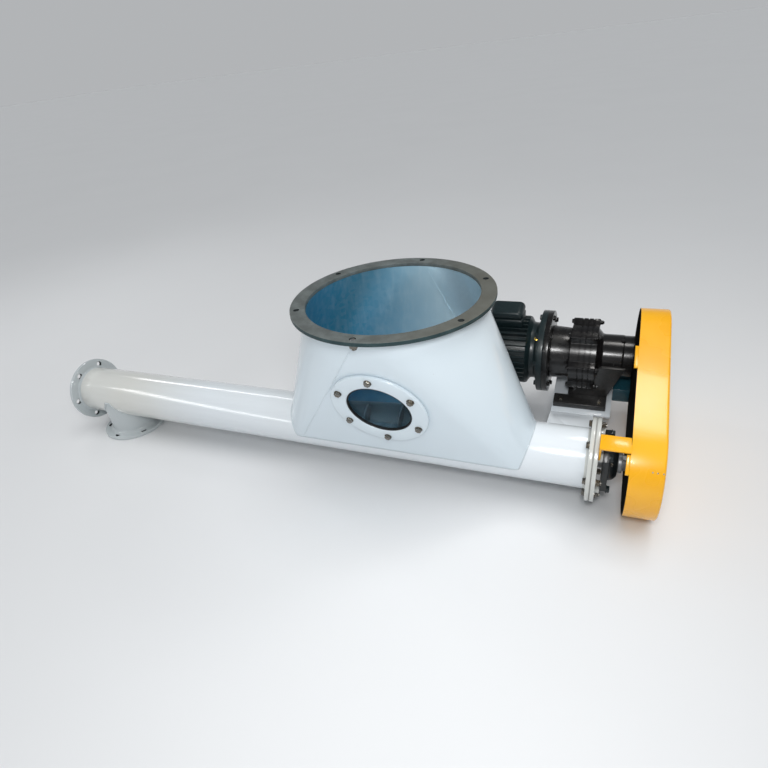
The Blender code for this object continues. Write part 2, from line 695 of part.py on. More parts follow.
def build_reducer_foot(centre):
    """Cast foot: two rails with a plate between them, and a saddle whose sides rise past the shaft."""
    base_low = -REDUCER_HEIGHT
    base_high = base_low + FOOT_T
    near, far = SPROCKET_DISTANCE - FOOT_HALF_WIDTH, SPROCKET_DISTANCE + FOOT_HALF_WIDTH
    near_in, far_in = near + FOOT_RAIL_WIDTH, far - FOOT_RAIL_WIDTH
    corners = [(FOOT_X, near), (FOOT_END_X, near), (FOOT_END_X, far), (FOOT_X, far),
               (FOOT_X, far_in), (FLARE_X, far_in), (FLARE_X, near_in), (FOOT_X, near_in)]
    outline = [drive_point(x, along, base_low) for x, along in corners]
    prism("reducer_foot_base", "cast_black", outline, FOOT_T * DRIVE_UP)
    side = SPROCKET_DISTANCE - PEDESTAL_HALF_WIDTH
    low = base_high + GAP
    top = 0.016
    back_top_x = OUTPUT_HOUSING_X + 0.008
    front_top_x = FOOT_END_X + 0.040
    corners = [(FLARE_X, low), (FOOT_END_X - 0.002, low), (front_top_x, top), (back_top_x, top),
               (OUTPUT_HOUSING_X - 0.010, -0.006), (PEDESTAL_X, -0.060)]
    flare_height = 0.037
    for k in (3, 2, 1):
        a = math.radians(30 * k)
        x = FLARE_X + (PEDESTAL_X - FLARE_X) * math.sin(a)
        corners.append((x, base_high + 0.003 + flare_height * (1 - math.cos(a))))
    corners.append((FLARE_X, low + 0.003))
    outline = [drive_point(x, side, up) for x, up in corners]
    pedestal = prism("reducer_foot_pedestal", "cast_black", outline, 2 * PEDESTAL_HALF_WIDTH * DRIVE_AXIS)
    bm = bmesh.new()
    body = [(INPUT_HOUSING_X, LOBE_R + GAP), (OUTPUT_HOUSING_X, LOBE_R + GAP),
            (OUTPUT_HOUSING_X, OUTPUT_HOUSING_R + GAP), (OUTPUT_END_X + 0.01, OUTPUT_HOUSING_R + GAP)]
    add_turned(bm, body, centre, up=DRIVE_UP)
    cut(pedestal, cutter("cut_pedestal", bm))


def build_motor():
    """Finned motor with its terminal box on top."""
    centre = Vector((0, REDUCER_CENTRE.y, REDUCER_CENTRE.z))
    disc = [(MOTOR_FLANGE_X, MOTOR_FLANGE_R), (INPUT_FLANGE_X - GAP, MOTOR_FLANGE_R)]
    turned("motor_flange", "motor_green", disc, centre, up=DRIVE_UP)
    bell_r = MOTOR_BODY_R + 0.001
    neck_r = 0.088
    collar_r = 0.092
    bell = [(BELL_X, bell_r), (BELL_X + 0.004, bell_r), (BELL_X + 0.016, neck_r), (BELL_X + 0.026, neck_r),
            (BELL_X + 0.028, collar_r), (MOTOR_FLANGE_X - GAP, collar_r)]
    turned("motor_end_bell", "motor_green", bell, centre, up=DRIVE_UP)
    side = Vector((1, 0, 0)).cross(DRIVE_UP)
    outline = []
    for a, radius in lobed_outline(FIN_COUNT, POINTS_PER_FIN, MOTOR_BODY_R, MOTOR_BODY_R - FIN_DEPTH):
        out = math.cos(a) * DRIVE_UP + math.sin(a) * side
        outline.append(centre + Vector((BODY_X, 0, 0)) + radius * out)
    body = prism("motor_body", "motor_green", outline, Vector((BELL_X - GAP - BODY_X, 0, 0)))
    cut(body, box_seat_cutter())
    cowl = [(COWL_X, 0.088), (COWL_X + 0.008, 0.100), (BODY_X - GAP, 0.102)]
    turned("motor_fan_cowl", "motor_green", cowl, centre, up=DRIVE_UP)
    build_terminal_box()


def box_seat_cutter():
    """Takes the fins away where the terminal box sits."""
    low, high = BOX_LOW, BOX_LID_TOP
    near, far = BOX_NEAR - GAP, BOX_FAR + GAP
    corners = [drive_point(BOX_X - GAP, along, up)
               for along, up in ((near, low), (far, low), (far, high), (near, high))]
    seat = bmesh.new()
    add_prism(seat, corners, Vector((BOX_LENGTH + 2 * GAP, 0, 0)))
    return cutter("cut_box_seat", seat)


def build_terminal_box():
    """Low box with a deep lid, whose two top edges are well rounded."""
    ends = (BOX_X, BOX_X + BOX_LENGTH)
    drive_box("motor_terminal_box", "motor_green", ends, (BOX_NEAR, BOX_FAR), (BOX_LOW + GAP, BOX_SEAM))
    corners = [(ends[0], BOX_SEAM + GAP), (ends[1], BOX_SEAM + GAP)]
    middle_up = BOX_LID_TOP - BOX_CORNER_R
    steps = 4
    for i in range(steps + 1):
        a = 0.5 * math.pi * i / steps
        corners.append((ends[1] - BOX_CORNER_R * (1 - math.cos(a)), middle_up + BOX_CORNER_R * math.sin(a)))
    for i in range(steps + 1):
        a = 0.5 * math.pi * (1 + i / steps)
        corners.append((ends[0] + BOX_CORNER_R * (1 + math.cos(a)), middle_up + BOX_CORNER_R * math.sin(a)))
    outline = [drive_point(x, BOX_NEAR, up) for x, up in corners]
    prism("motor_terminal_lid", "motor_green", outline, (BOX_FAR - BOX_NEAR) * DRIVE_AXIS)


def build_guard_block():
    """Painted block beside the reducer's foot that carries the guard's far half."""
    block_low = -REDUCER_HEIGHT - 0.006
    drive_box("guard_support_block", "block_teal", (PLATFORM_END_X + GAP, GUARD_X - GAP),
              (0.320, 0.442), (block_low, block_low + 0.053))


def build():
    clear_scene()
    build_tube()
    build_pipe_flange("outlet_end_flange", OUTLET_X, 1, OPEN_HOLE_R)
    build_pipe_flange("drive_end_flange", DRIVE_END_X, -1, FLANGE_HOLE_R)
    build_spout()
    build_hopper()
    build_rim()
    build_sight_glass()
    build_drive_end()
    build_bearing()
    build_screw()
    build_sprocket("driven_sprocket", SCREW_CENTRE, SHAFT_STUB_R)
    build_sprocket("drive_sprocket", REDUCER_CENTRE, REDUCER_SHAFT_R)
    build_chain()
    build_guard()
    build_guard_arm()
    build_platform()
    build_reducer()
    build_motor()
    build_guard_block()


build()
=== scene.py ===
# %% [markdown]
# # A tubular screw conveyor, dressed step by step
# The conveyor is a level steel tube with a screw in it. A hopper feeds it, a spout under its far end
# empties it, and a geared motor beside it turns the screw through a chain in a yellow guard. The packed
# model gives the frame: every piece below is placed from the boxes of its nodes, so nothing is fitted by
# eye. The first cell loads that frame and keeps its overall box.

# %% Load the frame
import math

import bmesh
import bpy
from mathutils import Matrix, Vector


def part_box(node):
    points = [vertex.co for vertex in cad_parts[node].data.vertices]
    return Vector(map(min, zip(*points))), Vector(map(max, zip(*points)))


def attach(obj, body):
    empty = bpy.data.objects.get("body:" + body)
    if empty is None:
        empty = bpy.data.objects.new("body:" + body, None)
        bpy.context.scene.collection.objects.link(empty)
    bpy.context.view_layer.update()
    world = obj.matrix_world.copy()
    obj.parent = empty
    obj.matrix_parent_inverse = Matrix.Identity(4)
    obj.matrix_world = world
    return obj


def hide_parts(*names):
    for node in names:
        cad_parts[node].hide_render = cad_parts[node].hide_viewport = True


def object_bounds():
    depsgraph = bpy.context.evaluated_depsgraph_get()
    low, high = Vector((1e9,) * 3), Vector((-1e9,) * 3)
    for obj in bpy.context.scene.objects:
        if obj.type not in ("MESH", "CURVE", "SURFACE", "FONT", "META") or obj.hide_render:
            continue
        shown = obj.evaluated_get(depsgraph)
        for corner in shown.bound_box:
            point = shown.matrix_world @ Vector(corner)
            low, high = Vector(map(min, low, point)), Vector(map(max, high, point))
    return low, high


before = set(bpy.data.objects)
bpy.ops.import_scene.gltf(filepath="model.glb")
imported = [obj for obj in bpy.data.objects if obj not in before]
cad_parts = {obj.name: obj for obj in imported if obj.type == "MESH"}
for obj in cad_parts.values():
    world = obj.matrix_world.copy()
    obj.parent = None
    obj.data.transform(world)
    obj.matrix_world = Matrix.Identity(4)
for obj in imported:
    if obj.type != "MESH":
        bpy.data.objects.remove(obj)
cad_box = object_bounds()

# %% [markdown]
# ## Places read from the frame
# A faceted ring's box still gives its true radius, because its corners lie on the circle. So the tube's
# radius, the hopper's axis and the line between the two shafts all come from node boxes. The drive lies on
# a line that rises from the tube's axis, so two unit vectors, one along that line and one square to it,
# make every piece of the drive as easy to place as one that is level.

# %% Read the places
X, Y, Z = Vector((1, 0, 0)), Vector((0, 1, 0)), Vector((0, 0, 1))


def middle(node):
    low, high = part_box(node)
    return 0.5 * (low + high)


def ends(node):
    """Lowest and highest X of a node."""
    low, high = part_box(node)
    return low.x, high.x


def radius_of(node):
    """Radius of a node that is round about the X axis."""
    low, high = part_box(node)
    return 0.5 * max(high.y - low.y, high.z - low.z)


LEFT_X, RIGHT_X = ends("conveyor_tube")
TUBE = Vector((0, 0, middle("conveyor_tube").z))
TUBE_R = radius_of("conveyor_tube")
TUBE_BORE = TUBE_R - 0.0045
HOPPER_X = middle("hopper_rim_flange").x
RIM_R = 0.5 * (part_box("hopper_rim_flange")[1].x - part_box("hopper_rim_flange")[0].x)
SPOUT_X = middle("spout_flange").x
REDUCER = Vector((0, middle("reducer_output_shaft").y, middle("reducer_output_shaft").z))
SHAFT_DISTANCE = (REDUCER - TUBE).length
ALONG = (REDUCER - TUBE).normalized()
UP = X.cross(ALONG)
print(f"tube radius {TUBE_R:.4f}, shafts {SHAFT_DISTANCE:.4f} apart, drive rises",
      f"{math.degrees(math.asin(ALONG.z)):.1f} degrees")

# %% [markdown]
# ## The camera
# The photo looks down on the machine from the front right, and the camera is rolled a little, so that the
# level tube runs downhill in the picture. Three turns build that view: about Z for the side it looks from,
# about X for the way down, and about its own line of sight for the roll.

# %% Camera
PHOTO_PX = 768
FOCAL_PX = 545.155
OPTICAL_AXIS_PX = (387.668, 391.969)
SENSOR_MM = 36.0
CAMERA_FROM_HOPPER = Vector((0.51408, -1.18018, 0.96911))
CAMERA_SIDE = math.radians(25.508)
CAMERA_DOWN = math.radians(32.496)
CAMERA_ROLL = math.radians(-7.758)

camera = bpy.data.objects.new("camera", bpy.data.cameras.new("camera"))
bpy.context.collection.objects.link(camera)
camera.data.sensor_width = SENSOR_MM
camera.data.lens = FOCAL_PX / PHOTO_PX * SENSOR_MM
camera.data.shift_x = (PHOTO_PX / 2 - OPTICAL_AXIS_PX[0]) / PHOTO_PX
camera.data.shift_y = (OPTICAL_AXIS_PX[1] - PHOTO_PX / 2) / PHOTO_PX
camera.data.clip_start = 0.05
turn = Matrix.Rotation(CAMERA_SIDE, 4, "Z")
turn = turn @ Matrix.Rotation(math.pi / 2 - CAMERA_DOWN, 4, "X")
turn = turn @ Matrix.Rotation(CAMERA_ROLL, 4, "Z")
camera.matrix_world = Matrix.Translation(CAMERA_FROM_HOPPER + TUBE + HOPPER_X * X) @ turn
bpy.context.scene.camera = camera
print(f"camera: lens {camera.data.lens:.2f} mm")

# %% [markdown]
# ## Writing node trees as sums
# A node tree is easier to read as arithmetic. A Wire holds one output socket, and its operators add a Math
# node, so `1 - dust * 0.3` builds two nodes.

# %% Helper for sums of sockets
class Wire:
    """One output socket that takes part in Python arithmetic."""

    def __init__(self, graph, socket):
        self.graph = graph
        self.socket = socket

    def _math(self, operation, first, second):
        return self.graph.node("ShaderNodeMath", {"operation": operation}, {0: first, 1: second})

    def __add__(self, other):
        return self._math("ADD", self, other)

    def __radd__(self, other):
        return self._math("ADD", other, self)

    def __sub__(self, other):
        return self._math("SUBTRACT", self, other)

    def __rsub__(self, other):
        return self._math("SUBTRACT", other, self)

    def __mul__(self, other):
        return self._math("MULTIPLY", self, other)

    def __rmul__(self, other):
        return self._math("MULTIPLY", other, self)

    def __truediv__(self, other):
        return self._math("DIVIDE", self, other)


print("sockets can be added and multiplied")

# %% [markdown]
# ## Making nodes
# The Graph adds nodes to one tree, of a finish or of a shape. Three short methods on it stand for what
# finishes use most: a mix of two colours, a noise, and a smooth step between two values.

# %% Helper that makes nodes
class Graph:
    """Adds nodes to one tree."""

    def __init__(self, tree):
        self.tree = tree

    def feed(self, socket, value):
        if isinstance(value, Wire):
            self.tree.links.new(value.socket, socket)
        else:
            socket.default_value = value

    def node(self, kind, settings=None, values=None, out=None):
        """A node of one type with its settings, what goes into its sockets, and the output that is meant."""
        made = self.tree.nodes.new(kind)
        for key, value in (settings or {}).items():
            setattr(made, key, value)
        for key, value in (values or {}).items():
            named = [s for s in made.inputs if s.identifier == key]
            self.feed(named[0] if named else made.inputs[key], value)
        found = [s for s in made.outputs if out in (s.identifier, s.name)]
        return Wire(self, found[0] if found else next(iter(made.outputs), None))

    def mix(self, mask, first, second):
        """first where the mask is 0 and second where it is 1, both colours."""
        first, second = ((*c, 1.0) if isinstance(c, tuple) else c for c in (first, second))
        return self.node("ShaderNodeMix", {"data_type": "RGBA"},
                         {"Factor_Float": mask, "A_Color": first, "B_Color": second}, out="Result_Color")

    def noise(self, where, scale, detail=3.0, roughness=0.55):
        values = {"Vector": where, "Scale": scale, "Detail": detail, "Roughness": roughness}
        return self.node("ShaderNodeTexNoise", {}, values, out="Fac")

    def band(self, value, low, high):
        """0 below low, 1 above high, and a smooth step between them."""
        return self.node("ShaderNodeMapRange", {"interpolation_type": "SMOOTHSTEP"},
                         {"Value": value, "From Min": low, "From Max": high})


print("helpers for node trees are ready")

# %% [markdown]
# ## A finish and what all of them share
# Each finish is a Principled BSDF. Numbers that are the same all over are set on its sockets, and only the
# colour, the roughness and the bump change over the surface. The patterns read Object coordinates in
# metres, so a scale of 500 means grains about 2 mm across on every piece alike.

# %% Start a finish
def start_finish(name, roughness=0.4, metallic=0.0, coat=0.0, specular=0.5):
    made = bpy.data.materials.new(name)
    made.use_nodes = True
    graph = Graph(made.node_tree)
    shader = made.node_tree.nodes["Principled BSDF"]
    shader.inputs["Roughness"].default_value = roughness
    shader.inputs["Metallic"].default_value = metallic
    shader.inputs["Coat Weight"].default_value = coat
    shader.inputs["Coat Roughness"].default_value = 0.08
    shader.inputs["Specular IOR Level"].default_value = specular
    where = graph.node("ShaderNodeTexCoord", out="Object")
    return made, graph, shader, where


def bump(graph, shader, height, depth, strength=1.0):
    """Raises the surface by the height, which runs from 0 to 1, times a depth in metres."""
    normal = graph.node("ShaderNodeBump", {}, {"Height": height, "Distance": depth, "Strength": strength})
    graph.feed(shader.inputs["Normal"], normal)


print("finishes can be made")

# %% [markdown]
# ## White enamel
# The tube, the hopper and the plates are sprayed with a glossy white enamel, and a clear coat over the
# colour gives the narrow bright lines along the tube. Real sprayed paint is never quite even: it has a fine
# orange-peel surface, broad areas that are a little duller, and a few small grey scuffs. Three noises of
# different scale give those three things. Towards the outlet a step along X mixes in a warmer tone, which is
# a painted reflection of warm light. Hopper, flanges and drive end each have their own white, so one
# function makes all four; the flanges' white is darker and bluer, as painted shade.

# %% White enamel
def enamel(name, clean, dusty_and_warm_reflection, scuff, roughness=0.16):
    made, graph, shader, where = start_finish(name, coat=0.45)
    broad = graph.band(graph.noise(where, 2.6, 3.0), 0.30, 0.80)
    speck = graph.band(graph.noise(where, 95.0, 3.0, 0.7), 0.70, 0.78)
    patchy = graph.band(graph.noise(where, 11.0, 2.0), 0.50, 0.66)
    along = graph.node("ShaderNodeSeparateXYZ", {}, {"Vector": where}, out="X")
    # Painted reflection: a warm tone towards the outlet, by a step along X.
    warm = 1.0 - graph.band(along, -0.82, -0.40)
    tone = graph.mix(warm * 0.8 + broad * 0.2, clean, dusty_and_warm_reflection)
    graph.feed(shader.inputs["Base Color"], graph.mix(speck * patchy * 0.35, tone, scuff))
    graph.feed(shader.inputs["Roughness"], broad * 0.05 + speck * 0.08 + roughness)
    bump(graph, shader, graph.noise(where, 420.0, 2.0), 0.00016, 0.25)
    return made


white_paint = enamel("white_enamel", (0.71, 0.76, 0.80), (0.66, 0.66, 0.62), (0.28, 0.28, 0.26))
hopper_paint = enamel("hopper_enamel", (0.67, 0.76, 0.82), (0.60, 0.66, 0.68), (0.30, 0.32, 0.33))
# Painted shade: the flanges, spout, fillets and two welds take the white enamel made darker and bluer.
shaded_flange_paint = enamel("shaded_flange_enamel", (0.52, 0.585, 0.625), (0.49, 0.53, 0.54), (0.25, 0.26, 0.26))
end_paint = enamel("drive_end_enamel", (0.55, 0.565, 0.54), (0.52, 0.52, 0.48), (0.25, 0.25, 0.23))
print("made", white_paint.name, hopper_paint.name, shaded_flange_paint.name, "and", end_paint.name)

# %% [markdown]
# ## Galvanised lining
# Inside, the hopper is zinc-coated sheet, which cools into flat crystals a centimetre or so across. A
# Voronoi texture is the usual way to get them: each cell takes its own tone. A step along X paints the
# sheet deep blue on the left, as painted shade, and pale on the right, as painted light, and long faint
# streaks run down it.

# %% Galvanised sheet
def galvanised_finish():
    made, graph, shader, where = start_finish("galvanised_sheet", metallic=0.55)
    cell = graph.node("ShaderNodeTexVoronoi", {}, {"Vector": where, "Scale": 85.0}, out="Color")
    tone = graph.node("ShaderNodeSeparateColor", {}, {"Color": cell}, out="Red")
    streaks = graph.node("ShaderNodeMapping", {}, {"Vector": where, "Scale": (60.0, 60.0, 3.0)}, out="Vector")
    worn = graph.band(graph.noise(streaks, 1.0, 4.0), 0.40, 0.78)
    along = graph.node("ShaderNodeSeparateXYZ", {}, {"Vector": where}, out="X")
    # Painted shade on the left of the lining and painted light on its right, by a step along X.
    lit_towards_right = graph.band(along, HOPPER_X - 0.26, HOPPER_X + 0.22)
    sheet = graph.mix(lit_towards_right, (0.050, 0.310, 0.490), (0.62, 0.77, 0.83))
    zinc = graph.mix(tone * 0.18, sheet, (0.40, 0.56, 0.65))
    graph.feed(shader.inputs["Base Color"], graph.mix(worn * 0.22, zinc, (0.56, 0.70, 0.77)))
    graph.feed(shader.inputs["Roughness"], tone * 0.05 + worn * 0.06 + 0.36)
    bump(graph, shader, tone * 0.4 + worn, 0.0001, 0.2)
    return made


zinc_inside = galvanised_finish()
print("made", zinc_inside.name)

# %% [markdown]
# ## Bare steels
# The rim ring is bare hot-rolled plate, grey and mottled, with no shine to speak of. It turns olive towards
# the right. Its outer side is painted darker, as painted shade, so that side has a finish of its own. The
# screw, the shafts and the chain are bare steel as well: worn bright, turned, or black with oil. One
# function makes all five from a slow cloud of tone and a fine grain.

# %% Bare steel
def bare_plate_finish(name, dark, light, roughness=0.52, right_side=None):
    made, graph, shader, where = start_finish(name, metallic=0.45)
    cloud = graph.noise(where, 22.0, 6.0, 0.65)
    grain = graph.noise(where, 380.0, 3.0, 0.6)
    tone = graph.mix(graph.band(cloud + grain * 0.25, 0.45, 0.85), dark, light)
    if right_side:
        along = graph.node("ShaderNodeSeparateXYZ", {}, {"Vector": where}, out="X")
        tone = graph.mix(graph.band(along, HOPPER_X - 0.05, HOPPER_X + 0.26) * 0.7, tone, right_side)
    graph.feed(shader.inputs["Base Color"], tone)
    graph.feed(shader.inputs["Roughness"], cloud * 0.25 + (roughness - 0.12))
    bump(graph, shader, grain + cloud, 0.0002, 0.4)
    return made


rim_steel = bare_plate_finish("bare_rim_plate", (0.13, 0.145, 0.14), (0.22, 0.25, 0.245),
                              right_side=(0.16, 0.155, 0.125))
# A darker, bluer steel for the ring's outer side: painted shade.
rim_edge = bare_plate_finish("painted_shade_rim_edge", (0.020, 0.045, 0.050), (0.045, 0.080, 0.085))
screw_steel = bare_plate_finish("worn_screw_steel", (0.16, 0.165, 0.17), (0.38, 0.39, 0.40), 0.38)
shaft_steel = bare_plate_finish("turned_shaft_steel", (0.22, 0.225, 0.23), (0.40, 0.41, 0.42), 0.30)
chain_steel = bare_plate_finish("oiled_chain_steel", (0.035, 0.032, 0.030), (0.11, 0.10, 0.09), 0.38)
print("made five bare steels, from", rim_steel.name, "to", chain_steel.name)

# %% [markdown]
# ## Machine paints
# The motor, the reducer, its foot and the bearing are castings under a dark machine paint. A casting keeps
# the grain of the sand it was poured in, which the paint softens but doesn't hide, so its bump has two
# scales. The small block by the foot is painted the same way, but blue-green.

# %% Casting paint
def casting_finish(name, deep, raised, roughness):
    made, graph, shader, where = start_finish(name, coat=0.15)
    sand = graph.noise(where, 230.0, 4.0, 0.6)
    lumps = graph.noise(where, 36.0, 3.0)
    dust = graph.band(graph.noise(where, 14.0, 5.0, 0.62), 0.52, 0.74)
    tone = graph.mix(graph.band(sand, 0.4, 0.7), deep, raised)
    graph.feed(shader.inputs["Base Color"], graph.mix(dust * 0.35, tone, (0.045, 0.045, 0.042)))
    graph.feed(shader.inputs["Roughness"], sand * 0.10 + dust * 0.08 + roughness)
    bump(graph, shader, sand * 0.6 + lumps, 0.0004, 0.35)
    return made


motor_green = casting_finish("motor_paint", (0.006, 0.013, 0.015), (0.012, 0.024, 0.026), 0.30)
cast_black = casting_finish("reducer_paint", (0.0040, 0.0036, 0.0038), (0.010, 0.009, 0.009), 0.20)
foot_paint = casting_finish("foot_paint", (0.016, 0.0155, 0.015), (0.032, 0.031, 0.030), 0.30)
bearing_paint = casting_finish("bearing_paint", (0.005, 0.008, 0.009), (0.010, 0.014, 0.015), 0.34)
block_teal = casting_finish("block_paint", (0.010, 0.056, 0.080), (0.014, 0.082, 0.110), 0.34)
print("made five machine paints, from", motor_green.name, "to", block_teal.name)

# %% [markdown]
# ## Guard enamel
# The guard is sheet metal with a glossy orange-yellow coat, which is smoother than a casting's. Its tone
# drifts a little over the broad wall, and its few chips are pale.

# %% Guard enamel
def guard_finish():
    made, graph, shader, where = start_finish("guard_enamel", coat=0.4)
    broad = graph.band(graph.noise(where, 4.5, 3.0), 0.40, 0.70)
    chip = graph.band(graph.noise(where, 120.0, 3.0, 0.7), 0.735, 0.755)
    tone = graph.mix(broad, (0.85, 0.400, 0.006), (0.89, 0.450, 0.012))
    graph.feed(shader.inputs["Base Color"], graph.mix(chip, tone, (0.93, 0.80, 0.50)))
    graph.feed(shader.inputs["Roughness"], broad * 0.08 + chip * 0.3 + 0.25)
    bump(graph, shader, graph.noise(where, 300.0, 2.0) + broad, 0.0002, 0.3)
    return made


guard_yellow = guard_finish()
print("made", guard_yellow.name)

# %% [markdown]
# ## Plating, rubber and grime
# Bolts are zinc plated, with the faint yellow of passivation in places, and most have gone dull. The
# gaskets are soft and matt. The walls of open bolt holes and the inside of the guard are matt near-black,
# which is painted shade.

# %% Plating and soft finishes
def plated_finish(name, cool, warm):
    made, graph, shader, where = start_finish(name, metallic=0.9)
    stain = graph.band(graph.noise(where, 70.0, 3.0), 0.45, 0.65)
    graph.feed(shader.inputs["Base Color"], graph.mix(stain, cool, warm))
    graph.feed(shader.inputs["Roughness"], stain * 0.18 + 0.24)
    bump(graph, shader, graph.noise(where, 600.0, 2.0), 0.0001, 0.3)
    return made


def soft_finish(name, dark, light):
    made, graph, shader, where = start_finish(name, specular=0.3)
    fibre = graph.noise(where, 260.0, 4.0)
    graph.feed(shader.inputs["Base Color"], graph.mix(fibre, dark, light))
    graph.feed(shader.inputs["Roughness"], fibre * 0.2 + 0.6)
    bump(graph, shader, fibre, 0.0003, 0.4)
    return made


zinc_plate = plated_finish("zinc_plated_bolts", (0.50, 0.51, 0.52), (0.42, 0.38, 0.30))
dull_plate = plated_finish("dull_plated_bolts", (0.20, 0.19, 0.17), (0.13, 0.11, 0.08))
brass = plated_finish("brass_fitting", (0.85, 0.62, 0.22), (0.70, 0.50, 0.18))
gasket_grey = soft_finish("fibre_gasket", (0.28, 0.28, 0.27), (0.40, 0.40, 0.38))
black_rubber = soft_finish("black_rubber", (0.006, 0.006, 0.007), (0.014, 0.014, 0.015))
# Near-black inside the guard: painted shade.
painted_shade_inside_guard = soft_finish("painted_shade_inside_guard", (0.006, 0.006, 0.006), (0.016, 0.015, 0.013))
# Near-black walls of open holes: painted shade.
hole_wall = soft_finish("painted_shade_hole_wall", (0.010, 0.014, 0.015), (0.030, 0.038, 0.040))
print("made three platings and four soft finishes")

# %% [markdown]
# ## Glass
# The sight glass is a thick pane with a blue-green tint. Full transmission lets the camera see the flights
# behind it, and the tint is the pane's own colour. Smears of dust make it duller in places.

# %% Tinted glass
def glass_finish():
    made, graph, shader, where = start_finish("tinted_glass", roughness=0.03)
    smear = graph.noise(where, 18.0, 4.0)
    graph.feed(shader.inputs["Base Color"], graph.mix(smear, (0.30, 0.46, 0.55), (0.38, 0.55, 0.63)))
    graph.feed(shader.inputs["Roughness"], graph.band(smear, 0.5, 0.8) * 0.10 + 0.02)
    shader.inputs["Transmission Weight"].default_value = 1.0
    shader.inputs["IOR"].default_value = 1.1
    return made


sight_glass = glass_finish()
print("made", sight_glass.name)

# %% [markdown]
# ## Making pieces
# Every piece ends the same way: its mesh is shaded smooth with its real edges kept sharp, its modifiers are
# applied, and it rides on the body that it moves with. Rings of vertices are joined by quads.

# %% Pieces and the bodies they ride on
SHARP = math.radians(38)


def shade(mesh):
    """Smooth, but for edges that turn by more than the sharp angle."""
    mesh.shade_smooth()
    mesh.set_sharp_from_angle(angle=SHARP)


def add_piece(name, bm, *finishes, recalculate=True):
    """Turns a bmesh into a smooth-shaded object at the origin."""
    if recalculate:
        bmesh.ops.recalc_face_normals(bm, faces=bm.faces)
    mesh = bpy.data.meshes.new(name)
    bm.to_mesh(mesh)
    bm.free()
    for finish in finishes:
        mesh.materials.append(finish)
    shade(mesh)
    made = bpy.data.objects.new(name, mesh)
    bpy.context.collection.objects.link(made)
    return made


def settle(piece):
    """Applies what the modifiers made, and removes them."""
    graph = bpy.context.evaluated_depsgraph_get()
    mesh = bpy.data.meshes.new_from_object(piece.evaluated_get(graph))
    piece.modifiers.clear()
    piece.data = mesh
    return piece


def stand_for(piece, slot, body, *replaced):
    """Rides a finished piece on its body and hides the nodes that it stands for."""
    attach(piece, body)
    if replaced:
        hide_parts(*replaced)
    return piece


def join_rings(bm, rings, loop=False, caps=False):
    """Quads from each ring of vertices to the next, and from the last to the first if it is a loop."""
    sides = []
    for first, second in zip(rings, rings[1:] + (rings[:1] if loop else [])):
        for i in range(len(first)):
            j = (i + 1) % len(first)
            sides.append(bm.faces.new((first[i], first[j], second[j], second[i])))
    if caps:
        bm.faces.new(rings[0][::-1])
        bm.faces.new(rings[-1])
    return sides


print(f"edges stay sharp above {math.degrees(SHARP):.0f} degrees")

# %% [markdown]
# ## Outlines
# A turned piece is drawn as an outline of (along, radius) pairs. Real edges are never knife sharp, so one
# function rounds the outline's corners, and light then catches on them.

# %% Outlines of turned pieces
def rounded(outline, radius, steps=3):
    """Rounds the corners of a closed outline of (along, radius) pairs, except on the axis."""
    result = []
    count = len(outline)
    for i in range(count):
        corner = Vector(outline[i])
        if corner.y < 1e-6:
            result.append(corner)
            continue
        before, after = Vector(outline[i - 1]) - corner, Vector(outline[(i + 1) % count]) - corner
        first = corner + before.normalized() * min(radius, 0.45 * before.length)
        last = corner + after.normalized() * min(radius, 0.45 * after.length)
        for k in range(steps + 1):
            t = k / steps
            result.append((1 - t) ** 2 * first + 2 * t * (1 - t) * corner + t * t * last)
    return result


def band(start, end, inner, outer):
    """Outline of a ring, from start to end along the axis."""
    return [(start, inner), (start, outer), (end, outer), (end, inner)]


def solid(*stations):
    """Outline of a solid turned body from (along, radius) stations."""
    return [(stations[0][0], 0.0), *stations, (stations[-1][0], 0.0)]


print("a rounded disc's outline has", len(rounded(solid((0, 1), (1, 1)), 0.1)), "points")

# %% [markdown]
# ## The lathe
# Most of the machine was turned on a lathe or rolled, so most pieces come from one lathe function, which
# turns an outline about an axis. Its rings of points come from the same circle that places bolts.

# %% Lathe
def circle(centre, radius, axis, up, count, phase=0.0):
    """Points on a circle, the first at the phase from the circle's side towards up."""
    side = up.cross(axis)
    turns = (math.radians(phase) + 2 * math.pi * i / count for i in range(count))
    return [centre + radius * (math.cos(a) * side + math.sin(a) * up) for a in turns]


def add_lathe(bm, outline, centre, axis=X, up=Z, count=96):
    """Turns a closed outline. A point with no radius becomes one vertex on the axis."""
    rings = []
    for along, radius in outline:
        place = centre + along * axis
        if radius < 1e-6:
            rings.append([bm.verts.new(place)] * count)
        else:
            rings.append([bm.verts.new(p) for p in circle(place, radius, axis, up, count)])
    for first, second in zip(rings, rings[1:] + rings[:1]):
        for i in range(count):
            j = (i + 1) % count
            corners = list(dict.fromkeys((first[i], first[j], second[j], second[i])))
            if len(corners) > 2:
                bm.faces.new(corners)


def lathe(name, finish, outline, centre, axis=X, up=Z, count=96, edge=0.0012):
    bm = bmesh.new()
    add_lathe(bm, rounded(outline, edge), centre, axis, up, count)
    return add_piece(name, bm, *([finish] if finish else []))


print("the lathe is ready")

# %% [markdown]
# ## Refined copies and drilled holes
# A piece that is flat or boxy already has its right shape in the frame, so `refined` copies that node,
# merges its loose triangles and bevels its edges. Holes are drilled by a boolean step, whose drill is wider
# at both ends of the hole and so leaves a chamfered lip.

